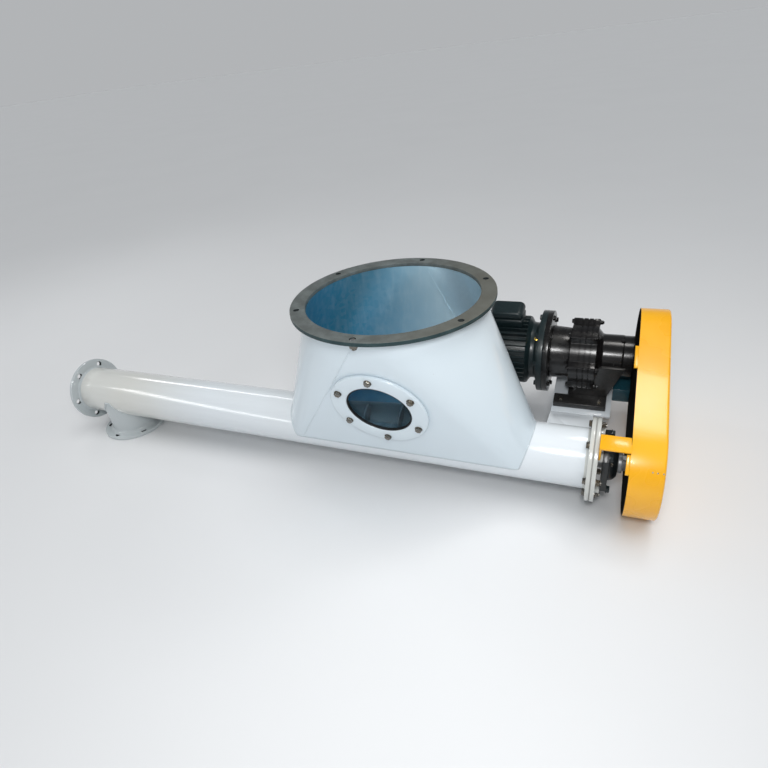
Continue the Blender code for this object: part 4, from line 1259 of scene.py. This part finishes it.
# %% Screw flight
TURNS = 16
SCREW_PITCH = 0.100
STEPS_PER_TURN = 40
FLIGHT_R = (0.0295, 0.070)
FLIGHT_T = 0.004
flight = add_piece("flight_wound", bmesh.new())
FLIGHT_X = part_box("screw_flight_in_tube")[0].x
winding = {"Turns": float(TURNS), "Pitch": SCREW_PITCH, "Steps": TURNS * STEPS_PER_TURN + 1,
           "Inner Radius": FLIGHT_R[0], "Outer Radius": FLIGHT_R[1],
           "Start": TUBE + (FLIGHT_X + 0.002) * X, "Finish": screw_steel}
run_tree(flight, flight_tree, winding)
plate_step = flight.modifiers.new("thickness", "SOLIDIFY")
plate_step.thickness = FLIGHT_T
plate_step.offset = 0.0
settle(flight)
shade(flight.data)
stand_for(flight, "screw_steel", "screw",
          "screw_flight_in_tube", "screw_flight_feed_left", "screw_flight_feed_right")
print("flight:", len(flight.data.polygons), "faces")

# %% [markdown]
# ## Sprockets
# Both wheels have twenty teeth. Each tooth gap is an arc that seats a chain roller, and the next tooth
# rises between two arcs, so the outline is one short pattern turned twenty times. The same outline, scaled
# to the bore, closes the wheel inside.

# %% Sprockets
TEETH = 20
PITCH = 0.0254
PITCH_R = 0.5 * PITCH / math.sin(math.pi / TEETH)
ROLLER_R = 0.0079
SEAT_R = ROLLER_R + 0.0006
TOOTH_HALF = 0.0075
HUB_R = 0.040
HUB_REACH = 0.030
CHAIN_X = middle("drive_chain").x


def tooth_outline():
    """Angles and radii round the wheel. A roller sits at each multiple of the tooth angle."""
    step = 2 * math.pi / TEETH
    pattern = []
    for k in range(-2, 3):
        a = math.radians(30 * k)
        out, over = PITCH_R - SEAT_R * math.cos(a), SEAT_R * math.sin(a)
        pattern.append((math.atan2(over, out), math.hypot(over, out)))
    pattern += [(0.5 * step - 0.022, PITCH_R + 0.0040), (0.5 * step + 0.022, PITCH_R + 0.0040)]
    return [(step * i + a, r) for i in range(TEETH) for a, r in pattern]


def sprocket(name, node, centre, bore, body):
    """Rings along X. A section with no radius of its own follows the teeth, sunk a little at their edges."""
    hub_x = CHAIN_X - HUB_REACH
    left, right = CHAIN_X - TOOTH_HALF, CHAIN_X + TOOTH_HALF
    sections = [(hub_x, bore, 0), (hub_x, HUB_R, 0), (left, HUB_R, 0), (left, 0, -0.0012),
                (left + 0.0015, 0, 0), (right - 0.0015, 0, 0), (right, 0, -0.0012), (right, bore, 0)]
    outline = tooth_outline()
    bm = bmesh.new()
    rings = []
    for x, radius, sunk in sections:
        points = []
        for angle, tooth in outline:
            r = radius or tooth + sunk
            out = math.cos(angle) * UP - math.sin(angle) * ALONG
            points.append(bm.verts.new(Vector((x, centre.y, centre.z)) + r * out))
        rings.append(points)
    join_rings(bm, rings, loop=True)
    wheel = add_piece(name, bm, chain_steel)
    stand_for(wheel, "chain_steel", body, node)
    return wheel


wheel = sprocket("driven_wheel", "driven_sprocket", TUBE, 0.0203, "screw")
sprocket("drive_wheel", "drive_sprocket", REDUCER, 0.0228, "output")
print("sprockets:", len(wheel.data.polygons), "faces each")

# %% [markdown]
# ## The chain's pins
# The chain has fifty pins, and each one lies on a corner of one closed outline: fifteen pitches along each
# straight run and ten round each wheel.

# %% Pins of the chain
def pin_places():
    """The fifty pins in order, from the top of the driving wheel round the loop."""
    places = []
    for centre, way in ((REDUCER, 1), (TUBE, -1)):
        for k in range(11):
            a = math.radians(18 * k)
            out = way * (math.cos(a) * UP + math.sin(a) * ALONG)
            places.append(Vector((CHAIN_X, centre.y, centre.z)) + PITCH_R * out)
        start, other = places[-1], way * -PITCH
        places += [start + other * k * ALONG for k in range(1, 15)]
    return places


print("pins:", len(pin_places()))

# %% [markdown]
# ## The chain by Geometry Nodes
# The tree takes the closed outline of pins as a mesh, puts a point in the middle of every edge and turns a
# link to lie along it. Links alternate: those with rollers, and those with pins outside them, so the index
# of a point, odd or even, picks its template.

# %% The chain tree
def make_chain_tree():
    tree, graph, read = new_tree("chain_links", {"Inner Link": "Object", "Outer Link": "Object",
                                                 "Finish": "Material"})
    start = graph.node("GeometryNodeInputMeshEdgeVertices", out="Position 1")
    end = graph.node("GeometryNodeInputMeshEdgeVertices", out="Position 2")
    way = graph.node("ShaderNodeVectorMath", {"operation": "SUBTRACT"}, {0: end, 1: start})
    marked = graph.node("GeometryNodeStoreNamedAttribute", {"data_type": "FLOAT_VECTOR", "domain": "EDGE"},
                        {"Geometry": read("Geometry"), "Name": "way", "Value": way})
    points = graph.node("GeometryNodeMeshToPoints", {"mode": "EDGES"}, {"Mesh": marked})
    along = graph.node("GeometryNodeInputNamedAttribute", {"data_type": "FLOAT_VECTOR"}, {"Name": "way"},
                       out="Attribute")
    turned = graph.node("FunctionNodeAxesToRotation", {"primary_axis": "Z", "secondary_axis": "X"},
                        {"Primary Axis": along, "Secondary Axis": (1.0, 0.0, 0.0)})
    index = graph.node("GeometryNodeInputIndex")
    odd = graph.node("ShaderNodeMath", {"operation": "MODULO"}, {0: index, 1: 2.0})
    joined = None
    for title, chosen in (("Inner Link", odd), ("Outer Link", 1 - odd)):
        shape = graph.node("GeometryNodeObjectInfo", {}, {"Object": read(title)}, out="Geometry")
        links = graph.node("GeometryNodeInstanceOnPoints", {}, {"Points": points, "Instance": shape,
                                                                "Rotation": turned, "Selection": chosen})
        if joined is None:
            joined = graph.node("GeometryNodeJoinGeometry", {}, {"Geometry": links})
        else:
            graph.tree.links.new(links.socket, joined.socket.node.inputs[0])
    end_tree(graph, joined, read("Finish"))
    return tree


chain_tree = make_chain_tree()
print("made the tree", chain_tree.name)

# %% [markdown]
# ## Links and the whole chain
# Each link is two flat plates with round ends and two bars across them. On an inner link the bars are the
# thick rollers; on an outer one they are the thin pins, whose ends stand out past the plates.

# %% Links and chain
def link_template(name, plate_x, plate_r, bar_r, bar_half, bar_count):
    """Two plates and two round bars. The link lies along Z and its bars along X."""
    bm = bmesh.new()
    for side in (-1, 1):
        outline = []
        for end in (1, -1):
            for k in range(6):
                a = math.radians(-75 + 30 * k)
                outline.append((end * plate_r * math.sin(a), end * (0.5 * PITCH + plate_r * math.cos(a))))
        flat = [side * plate_x, side * (plate_x + 0.0018)]
        rings = [[bm.verts.new((x, y, z)) for y, z in outline] for x in flat]
        join_rings(bm, rings)
        bm.faces.new(rings[0])
        bm.faces.new(rings[1])
    for end in (-0.5, 0.5):
        add_lathe(bm, solid((-bar_half, bar_r), (bar_half, bar_r)), end * PITCH * Z, X, Z, bar_count)
    return add_piece(name, bm)


inner_link = link_template("template_inner_link", 0.0086, 0.0102, ROLLER_R, 0.0085, 12)
outer_link = link_template("template_outer_link", 0.0107, 0.0100, 0.0040, 0.0129, 8)
templates += [inner_link, outer_link]
bm = bmesh.new()
pins = [bm.verts.new(p) for p in pin_places()]
for first, second in zip(pins, pins[1:] + pins[:1]):
    bm.edges.new((first, second))
chain = add_piece("roller_chain", bm, recalculate=False)
links = {"Inner Link": inner_link, "Outer Link": outer_link, "Finish": chain_steel}
run_tree(chain, chain_tree, links)
stand_for(chain, "chain_steel", "root", "drive_chain")
print("chain:", len(pins), "pins,", len(chain.data.polygons), "faces")

# %% [markdown]
# ## The chain guard
# The guard is a box pressed from sheet: an outline round two circles of different size, with a soft corner
# between its wall and its face. Offsetting that outline keeps each point on its own normal, so the rounded
# corner and the inner skin are the same outline again, a little smaller.

# %% Guard outline
GUARD_R = (0.131, 0.145)
GUARD_WALL = 0.003
GUARD_CORNER = 0.0060
GUARD_X, GUARD_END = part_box("guard_rim")[0].x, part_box("guard_face_plate")[1].x


def guard_outline(inset, x, steps=56):
    """Points round both circles of the guard, moved in by the inset."""
    lean = math.asin((GUARD_R[1] - GUARD_R[0]) / SHAFT_DISTANCE)
    points = []
    for centre, radius, start, sweep in ((REDUCER, GUARD_R[1], -math.pi / 2 - lean, math.pi + 2 * lean),
                                         (TUBE, GUARD_R[0], math.pi / 2 + lean, math.pi - 2 * lean)):
        for i in range(steps + 1):
            a = start + sweep * i / steps
            out = math.cos(a) * ALONG + math.sin(a) * UP
            points.append(Vector((x, centre.y, centre.z)) + (radius - inset) * out)
    return points


print("points round the guard:", len(guard_outline(0.0, GUARD_X)))

# %% [markdown]
# ## The guard's shell
# The outline is repeated at each step of a section through the sheet: along the inner skin, near-black
# as painted shade, to the open edge, and back along the yellow outer skin round the soft corner. Two flat
# faces close it.

# %% Guard shell
def build_guard():
    """Sections run from the inner face out to the open edge and back up the painted outside."""
    steps = 5
    inner = GUARD_CORNER - GUARD_WALL
    sections = []
    for i in range(steps + 1):
        a = 0.5 * math.pi * i / steps
        inset = GUARD_WALL + inner * (1 - math.sin(a))
        sections.append((inset, GUARD_END - GUARD_WALL - inner * (1 - math.cos(a))))
    sections += [(GUARD_WALL, GUARD_X + 0.0008), (GUARD_WALL - 0.0008, GUARD_X), (0.0008, GUARD_X),
                 (0.0, GUARD_X + 0.0008)]
    for i in range(steps + 1):
        a = 0.5 * math.pi * i / steps
        sections.append((GUARD_CORNER * (1 - math.cos(a)), GUARD_END - GUARD_CORNER * (1 - math.sin(a))))
    bm = bmesh.new()
    rings = [[bm.verts.new(p) for p in guard_outline(inset, x)] for inset, x in sections]
    painted_from = steps + 4
    # The inner skin and the open edge take the near-black finish, which is painted shade.
    for face in join_rings(bm, rings[:painted_from + 1]):
        face.material_index = 1
    join_rings(bm, rings[painted_from:])
    bm.faces.new(rings[0][::-1]).material_index = 1
    bm.faces.new(rings[-1])
    return add_piece("guard_shell", bm, guard_yellow, painted_shade_inside_guard)


guard = build_guard()
stand_for(guard, "guard_yellow", "root", "guard_rim", "guard_face_plate")
print("guard:", len(guard.data.polygons), "faces")

# %% [markdown]
# ## Ears, arm and spot welds
# Two short ears stand out from the guard's open back, and a bent bar holds it. All three reach on to the
# wall by a millimetre, since on the real guard they run into it without a joint. Three small spot welds
# show on the wall.

# %% Ears, arm and spot welds
JOINT_REACH = 0.0010
for node in ("guard_lower_ear", "guard_upper_ear", "guard_arm"):
    piece = refined(node, guard_yellow, 0.0004)
    for corner in piece.data.vertices:
        if corner.co.x > GUARD_X - JOINT_REACH:
            corner.co.x += JOINT_REACH
    stand_for(piece, "guard_yellow", "root", node)

DOTS_X = (0.8836, 0.8943, 0.9066)
DOT_ALONG = -0.084
DOT_UP = math.sqrt(GUARD_R[0] ** 2 - DOT_ALONG ** 2)
dot_out = (DOT_ALONG * ALONG + DOT_UP * UP).normalized()
dots = [Vector((x, 0, TUBE.z)) + (GUARD_R[0] - 0.0004) * dot_out for x in DOTS_X]
bm = bmesh.new()
for dot in dots:
    add_lathe(bm, rounded(solid((0, 0.0019), (0.0010, 0.0017)), 0.0004, 1), dot, dot_out, X, 12)
stand_for(add_piece("guard_spot_welds", bm, zinc_plate), "guard_yellow", "root")
print("two ears, the arm and", len(dots), "spot welds")

# %% [markdown]
# ## Platform, foot and block
# These are flat plates and castings, so they keep the frame's shapes with their edges rounded. The
# sloping plate is notched where a bolt head of the tube's flange comes near it. The foot's pedestal holds
# the reducer in a saddle, whose front comes forward to the lobed housing.

# %% Plates and castings
web = refined("platform_web", white_paint, 0.0010)
WEB_NOTCH_R = 0.0135
cut_holes(web, [head_places[0]], X, Z, WEB_NOTCH_R, 0.030, 0.0006)
stand_for(web, "white_paint", "root", "platform_web")
for node in ("drive_platform", "platform_rib_left", "platform_rib_right"):
    stand_for(refined(node, white_paint, 0.0011), "white_paint", "root", node)
stand_for(refined("reducer_foot_base", foot_paint, 0.0028, 3), "cast_black", "root", "reducer_foot_base")
pedestal = refined("reducer_foot_pedestal", foot_paint, 0.0030, 3)
SADDLE_X = ends("reducer_output_housing")[0]
SADDLE_FORWARD = 0.0088
for corner in pedestal.data.vertices:
    if abs(corner.co.x - SADDLE_X) < 0.0034:
        corner.co.x -= SADDLE_FORWARD
stand_for(pedestal, "cast_black", "root", "reducer_foot_pedestal")
stand_for(refined("guard_support_block", block_teal, 0.0022, 3), "block_teal", "root", "guard_support_block")

print("two plates, two ribs, the foot and the block are finished")

# %% [markdown]
# ## The platform's welds and bolts
# One bead joins the sloping plate to the tube and one joins it to the platform, each at one level. Four
# small bolts hold the foot down, with their nuts under the platform.

# %% Welds and bolts of the platform
def web_weld(name, y, z, radius):
    """A bead at one level, as long as the sloping plate is wide."""
    low, high = ends("platform_web")
    line = [Vector((low + (high - low) * k / 10, y, z)) for k in range(11)]
    weld(name, line, False, radius, white_paint)


web_weld("platform_tube_weld", TUBE_R, TUBE.z - 0.0080, 0.0035)
NEAR_EDGE = TUBE + 0.2498 * ALONG - 0.1303 * UP
web_weld("platform_edge_weld", NEAR_EDGE.y, NEAR_EDGE.z - 0.0006, 0.0022)
FOOT_TOP = -0.110
FOOT_BOLTS_X = (HOPPER_X + 0.398, HOPPER_X + 0.510)
FOOT_BOLTS_ALONG = (0.285, 0.477)
FOOT_GRIP = 0.0283
foot_bolts = [TUBE + x * X + s * ALONG + FOOT_TOP * UP for x in FOOT_BOLTS_X for s in FOOT_BOLTS_ALONG]
bolts("foot_bolts", bolt_head, foot_bolts, UP, X, 0.62, finish=dull_plate, seed=7)
foot_nuts = [p - FOOT_GRIP * UP for p in foot_bolts]
bolts("foot_bolt_nuts", bolt_nut, foot_nuts, -UP, X, 0.62, finish=dull_plate, seed=8)
print("platform welded and foot bolted")

# %% [markdown]
# ## The reducer
# The reducer is a stack of round castings: a flange for the motor, a plain cone, a housing with six bolt
# lobes right along it, and a plain barrel where its slow shaft comes out. The lobed housing has its own
# outline, a circle with six soft bumps, taken along the axis. Its grooves are the joints of its parts.

# %% The lobed housing
def plain_turned(node, name, finish, slot, stations, edge, count=112):
    """A solid turned body on the reducer's axis that stands for its node."""
    piece = lathe(name, finish, solid(*stations), REDUCER, X, UP, count, edge)
    return stand_for(piece, slot, "root", node)


LOBES = 6
LOBE_R, RING_R = 0.107, 0.0885
RING_X = (HOPPER_X + 0.4135, HOPPER_X + 0.4890)
RING_GROOVES = (HOPPER_X + 0.4410, HOPPER_X + 0.4565, HOPPER_X + 0.4715)
FLANGE_DISC_R = 0.125
SLOW_SHAFT_R = 0.0225
POCKET_R = (0.0234, 0.0334)
# The lobes' angles are even about the vertical, which leans this far from UP
LEAN = math.asin(ALONG.z)


def lobed_radius(angle):
    """Bolt lobes stand up smoothly from the ring, at 30 degrees from the vertical and every 60 from there."""
    off = abs((angle - LEAN) % (2 * math.pi / LOBES) - math.pi / LOBES)
    t = min(max((math.radians(13) - off) / math.radians(7.5), 0.0), 1.0)
    return RING_R + (LOBE_R - RING_R) * t * t * (3 - 2 * t)


def build_lobed_housing():
    start, end = RING_X
    edge, depth, half = 0.0016, 0.0030, 0.0009
    stations = [(start, edge), (start + edge, 0)]
    for groove in RING_GROOVES:
        stations += [(groove - 2 * half, 0), (groove - half, depth)]
        stations += [(groove + half, depth), (groove + 2 * half, 0)]
    stations += [(end - edge, 0), (end, edge)]
    count = 192
    bm = bmesh.new()
    rings = []
    for x, sunk in stations:
        points = []
        for i in range(count):
            a = 2 * math.pi * i / count
            radius = lobed_radius(a) - sunk
            out = math.cos(a) * UP + math.sin(a) * ALONG
            points.append(bm.verts.new(Vector((x, REDUCER.y, REDUCER.z)) + radius * out))
        rings.append(points)
    join_rings(bm, rings, caps=True)
    return add_piece("reducer_lobed_housing", bm, cast_black)


housing = build_lobed_housing()
stand_for(housing, "cast_black", "root", "reducer_ring_housing")
print("lobed housing:", len(housing.data.polygons), "faces")

# %% [markdown]
# ## The reducer's turned parts
# The motor's flange, the cone and the barrel are turned outlines. The barrel's front has a shallow pocket
# for the seal, and a deeper one that the slow shaft comes out of.

# %% Flange, cone, barrel and slow shaft
low, high = ends("reducer_input_flange")
plain_turned("reducer_input_flange", "reducer_motor_flange", cast_black, "cast_black",
             [(low, FLANGE_DISC_R), (high, FLANGE_DISC_R)], 0.0018, 128)
low, high = ends("reducer_input_housing")
plain_turned("reducer_input_housing", "reducer_cone", cast_black, "cast_black",
             [(low, 0.0800), (low + 0.004, 0.0800), (RING_X[0] + 0.001, 0.0760)], 0.0022)
low, high = ends("reducer_output_housing")
pocket = low + 0.0532
plain_turned("reducer_output_housing", "reducer_barrel", cast_black, "cast_black",
             [(RING_X[1] - 0.001, 0.080), (low + 0.002, 0.066), (low + 0.006, 0.064), (low + 0.060, 0.064),
              (low + 0.062, 0.0625), (high - 0.001, 0.0625), (high, 0.061), (high, 0.034),
              (high - 0.002, POCKET_R[1]), (high - 0.002, POCKET_R[0]), (pocket, POCKET_R[0])], 0.0020, 112)
seal_ring = band(high - 0.0024, high - 0.0008, *POCKET_R)
seal = lathe("reducer_seal", black_rubber, seal_ring, REDUCER, X, UP, 64, 0.0005)
stand_for(seal, "cast_black", "root")
low, high = ends("reducer_output_shaft")
slow_outline = solid((low, SLOW_SHAFT_R), (high, SLOW_SHAFT_R))
slow_shaft = lathe("reducer_slow_shaft", shaft_steel, slow_outline, REDUCER, X, UP, 64, 0.0014)
stand_for(slow_shaft, "screw_steel", "output", "reducer_output_shaft")
print(f"slow shaft: {high - low:.3f} m long")

# %% [markdown]
# ## The reducer's bolts
# A bolt runs through each lobe, with its head on the motor's side and its nut on the other. All are painted
# over with the castings. One small plug sits on the barrel.

# %% Lobe bolts and plug
LOBE_BOLT_R = 0.0965
PLUG_TURN = math.radians(-18)
lobe_phase = 90 - math.degrees(LEAN) + 30
lobe_bolts = circle(REDUCER + RING_X[1] * X, LOBE_BOLT_R, X, UP, LOBES, lobe_phase)
bolts("lobe_bolts", bolt_nut, lobe_bolts, X, UP, 0.66, finish=cast_black, slot="cast_black", seed=9)
lobe_bolts = circle(REDUCER + RING_X[0] * X, LOBE_BOLT_R, X, UP, LOBES, lobe_phase)
bolts("lobe_bolts_back", bolt_head, lobe_bolts, -X, UP, 0.66, finish=cast_black, slot="cast_black", seed=10)
plug_out = (math.cos(PLUG_TURN) * Z + math.sin(PLUG_TURN) * Y).normalized()
plug_place = REDUCER + (HOPPER_X + 0.5575) * X + 0.0632 * plug_out
bolts("reducer_plug", bolt_head, [plug_place], plug_out, X, 0.55, finish=cast_black,
      slot="cast_black", seed=14)
print("reducer's bolts and plug are in place")

# %% [markdown]
# ## The motor
# The motor's ribs cool it, and each one is a thin cast fin, a little thicker at its root. A Geometry Nodes
# tree turns one fin into thirty-six round a plain core.

# %% The fin tree
FINS = 36
FIN_TIP_R = 0.105
FIN_ROOT_R = 0.091
body_x, body_end = ends("motor_body")


def make_fin_tree():
    tree, graph, read = new_tree("fins_on_circle", {"Fin": "Object", "Count": "Int", "Centre": "Vector",
                                                    "First": "Float", "Finish": "Material"})
    points = graph.node("GeometryNodePoints", {}, {"Count": read("Count"), "Position": read("Centre")})
    index = graph.node("GeometryNodeInputIndex")
    angle = index * (2 * math.pi) / read("Count") + read("First")
    turn = graph.node("ShaderNodeCombineXYZ", {}, {"X": angle})
    turned = graph.node("FunctionNodeEulerToRotation", {}, {"Euler": turn})
    shape = graph.node("GeometryNodeObjectInfo", {}, {"Object": read("Fin")}, out="Geometry")
    copies = graph.node("GeometryNodeInstanceOnPoints", {}, {"Points": points, "Instance": shape,
                                                            "Rotation": turned})
    end_tree(graph, copies, read("Finish"))
    return tree


fin_tree = make_fin_tree()
print("made the tree", fin_tree.name)

# %% [markdown]
# ## The fins and the core
# One fin is drawn with its root sunk in the core and its tip rounded, and with its ends a little lower, as
# a casting's are. The core under the fins is plain and stands for the motor's body.

# %% Motor fins
def fin_template():
    """One fin along X, upright on Z, with a rounded tip."""
    section = [(-0.0028, FIN_ROOT_R - 0.002), (-0.0015, FIN_TIP_R - 0.0012), (-0.0007, FIN_TIP_R),
               (0.0007, FIN_TIP_R), (0.0015, FIN_TIP_R - 0.0012), (0.0028, FIN_ROOT_R - 0.002)]
    bm = bmesh.new()
    rings = []
    for x, sunk in ((body_x, 0.002), (body_x + 0.003, 0), (body_end - 0.003, 0), (body_end, 0.002)):
        rings.append([bm.verts.new((x, y, z - sunk if z > FIN_ROOT_R else z)) for y, z in section])
    join_rings(bm, rings, caps=True)
    return add_piece("template_fin", bm)


fin = fin_template()
templates.append(fin)
fins = add_piece("motor_fins", bmesh.new())
run_tree(fins, fin_tree, {"Fin": fin, "Count": FINS, "Centre": REDUCER, "First": LEAN,
                          "Finish": motor_green})
stand_for(fins, "motor_green", "root")
core_outline = solid((body_x, FIN_ROOT_R), (body_end, FIN_ROOT_R))
core = lathe("motor_core", motor_green, core_outline, REDUCER, X, UP, 96, 0.001)
stand_for(core, "motor_green", "root", "motor_body")
print("fins:", len(fins.data.polygons), "faces")

# %% [markdown]
# ## The fan cowl
# The fan cowl is a pressed cap with rings of holes at its end, through which the fan draws its air. The cap
# is a turned outline, and each ring of holes has six more than the one inside it.

# %% Fan cowl
COWL_R = 0.1020
GRILLE_RINGS = (0.016, 0.030, 0.044, 0.058, 0.072)
cowl_x, cowl_end = ends("motor_fan_cowl")
cowl_outline = solid((cowl_x, 0.086), (cowl_x + 0.010, 0.1005), (cowl_end - 0.004, COWL_R),
                     (cowl_end, COWL_R))
cowl = lathe("fan_cowl", motor_green, cowl_outline, REDUCER, X, UP, 112, 0.0040)
grille = []
for k, radius in enumerate(GRILLE_RINGS):
    grille += circle(REDUCER + (cowl_x + 0.001) * X, radius, X, UP, 6 * (k + 1))
cut_holes(cowl, grille, X, UP, 0.0040, 0.009, 0.0005)
stand_for(cowl, "motor_green", "root", "motor_fan_cowl")
print("fan cowl:", len(grille), "holes")

# %% [markdown]
# ## The motor's drive end and terminal box
# A waisted bell leads to the round flange, with a brass earth screw on it. Both are turned outlines. The
# terminal box and its lid are castings with very soft edges, so they are the frame's shapes with wide
# bevels.

# %% Bell, flange and terminal box
EARTH_X = HOPPER_X + 0.3155
EARTH_R = 0.0910
bell_x, bell_end = ends("motor_end_bell")
earth_angle = math.radians(-40)
earth_out = math.cos(earth_angle) * Z + math.sin(earth_angle) * Y
earth_place = REDUCER + EARTH_X * X + EARTH_R * earth_out
bolts("earth_screw", bolt_head, [earth_place], earth_out, X, 0.5, finish=brass, slot="motor_green", seed=15)
bell = [(bell_x, 0.1050), (bell_x + 0.0105, 0.0875), (bell_x + 0.025, 0.0860), (bell_x + 0.028, 0.0915),
        (bell_end, 0.0915)]
plain_turned("motor_end_bell", "motor_bell", motor_green, "motor_green", bell, 0.0028)
low, high = ends("motor_flange")
plain_turned("motor_flange", "motor_flange_disc", motor_green, "motor_green",
             [(low, FLANGE_DISC_R), (high, FLANGE_DISC_R)], 0.0018, 128)
FLANGE_BOLTS = 8
FLANGE_BOLT_CIRCLE_R = 0.108
flange_places = circle(REDUCER, FLANGE_BOLT_CIRCLE_R, X, UP, FLANGE_BOLTS, 180 / FLANGE_BOLTS)
bolts("motor_flange_bolts", bolt_head, [p + low * X for p in flange_places], -X, UP, 0.8, finish=motor_green,
      slot="motor_green", seed=11)
nut_x = ends("reducer_input_flange")[1]
bolts("motor_flange_nuts", bolt_head, [p + nut_x * X for p in flange_places], X, UP, 0.7, finish=cast_black,
      slot="cast_black", seed=12)
stand_for(refined("motor_terminal_box", motor_green, 0.0080, 5), "motor_green", "root", "motor_terminal_box")
stand_for(refined("motor_terminal_lid", motor_green, 0.0125, 6), "motor_green", "root", "motor_terminal_lid")
print("motor and terminal box are in place")

# %% [markdown]
# ## The floor
# The templates were only patterns for the trees, so they go now. The machine stands over a plain pale
# floor, which reaches so far that its edge is lost where the room's pale horizon begins.

# %% Floor
for template in templates:
    bpy.data.objects.remove(template)


def floor_finish():
    made, graph, shader, where = start_finish("studio_floor", roughness=0.6, specular=0.2)
    cloud = graph.noise(where, 1.3, 3.0)
    graph.feed(shader.inputs["Base Color"], graph.mix(cloud, (0.70, 0.71, 0.72), (0.73, 0.74, 0.75)))
    return made


FLOOR_Z = cad_box[0].z - 0.0005
FLOOR_HALF = 60.0
bm = bmesh.new()
corners = [(x * FLOOR_HALF, y * FLOOR_HALF, FLOOR_Z) for x, y in ((-1, -1), (1, -1), (1, 1), (-1, 1))]
bm.faces.new([bm.verts.new(corner) for corner in corners])
floor = add_piece("studio_floor", bm, floor_finish(), recalculate=False)
print("floor:", 2 * FLOOR_HALF, "metres across")

# %% [markdown]
# ## The light
# Glossy paint shows what it mirrors, so each highlight of the photo gets its own lamp where the paint
# mirrors it. Two long strips, in front and behind, draw the bright lines along the tube; each leans, so
# that its mirror image lies along the tube. A card over the guard gives the cream patch on its wall, and a
# small flash near the camera picks out edges. The body of the light is a broad sun overhead. It isn't
# mirrored, because its image would make every dark casting grey. The room is pale at the horizon and dim
# above, which keeps the castings black.

# %% Makers of lamps
def lamp(name, place, aim, size, watts, tint=(1.0, 1.0, 1.0)):
    """A rectangular soft light that looks at a point."""
    data = bpy.data.lights.new(name, "AREA")
    data.shape = "RECTANGLE"
    data.size, data.size_y = size
    data.energy = watts
    data.color = tint
    made = bpy.data.objects.new(name, data)
    bpy.context.collection.objects.link(made)
    made.location = place
    made.rotation_euler = (Vector(aim) - Vector(place)).to_track_quat("-Z", "Y").to_euler()
    return made


def lean_strip(strip, slope):
    """Turns a strip about its own aim until its long side rises by the slope for each metre along X."""
    face = strip.rotation_euler.to_matrix() @ Z
    along = Vector((1.0, 0.0, slope))
    width = (along - along.dot(face) * face).normalized()
    strip.rotation_euler = Matrix((width, face.cross(width), face)).transposed().to_euler()


def broad_sun(name, toward, strength, spread):
    """A sun as wide as a big overcast patch of sky, which lights but isn't mirrored."""
    made = bpy.data.objects.new(name, bpy.data.lights.new(name, "SUN"))
    bpy.context.collection.objects.link(made)
    made.data.energy = strength
    made.data.angle = math.radians(spread)
    made.visible_glossy = False
    made.rotation_euler = Vector(toward).to_track_quat("Z", "Y").to_euler()
    return made


print("lamps can be made")

# %% [markdown]
# ## Placing the lamps
# Each lamp looks at the middle of what it serves. The flash is placed in the camera's own axes, a little
# above it, so it stays there if the camera is moved. The card hangs straight over the guard.

# %% Lamps
FLASH_PLACE = camera.matrix_world @ Vector((0.02, 0.20, 0.06))
CARD_PLACE = Vector((1.02, 0.505, 0.95))
CREAM = (1.0, 0.97, 0.94)
STRIP_SLOPE = 0.515
flash = lamp("flash", FLASH_PLACE, (0.15, 0.0, -0.35), (0.30, 0.30), 12.0)
front_strip = lamp("front_strip", (-2.44, -2.0, 0.53), (-0.45, 0.0, -0.39), (2.7, 0.26), 14.0)
lean_strip(front_strip, -STRIP_SLOPE)
rear_strip = lamp("rear_strip", (-2.24, 1.2, 1.42), (-0.45, 0.0, -0.36), (1.6, 0.22), 7.0)
lean_strip(rear_strip, STRIP_SLOPE)
guard_card = lamp("guard_card", CARD_PLACE, CARD_PLACE - Z, (0.40, 0.31), 3.8, CREAM)
overhead = broad_sun("overhead", (0.20, -0.08, 1.0), 1.65, 50)

# %% [markdown]
# ## The room
# A smooth step on the height of the line of sight blends the two tones of the room. The horizon's tone is
# close to that of the far floor, so no line shows where they meet.

# %% Room
def pale_sky():
    """A room that is pale at the horizon, like the far floor, and dim above."""
    made = bpy.data.worlds.new("pale_sky")
    made.use_nodes = True
    graph = Graph(made.node_tree)
    way = graph.node("ShaderNodeTexCoord", out="Generated")
    height = graph.node("ShaderNodeSeparateXYZ", {}, {"Vector": way}, out="Z")
    high = graph.band(height, 0.10, 0.34)
    background = made.node_tree.nodes["Background"]
    graph.feed(background.inputs["Color"], graph.mix(high, (0.445, 0.457, 0.470), (0.14, 0.15, 0.16)))
    return made


world = pale_sky()
bpy.context.scene.world = world
bpy.context.scene.view_settings.view_transform = "Standard"
print("room:", world.name)
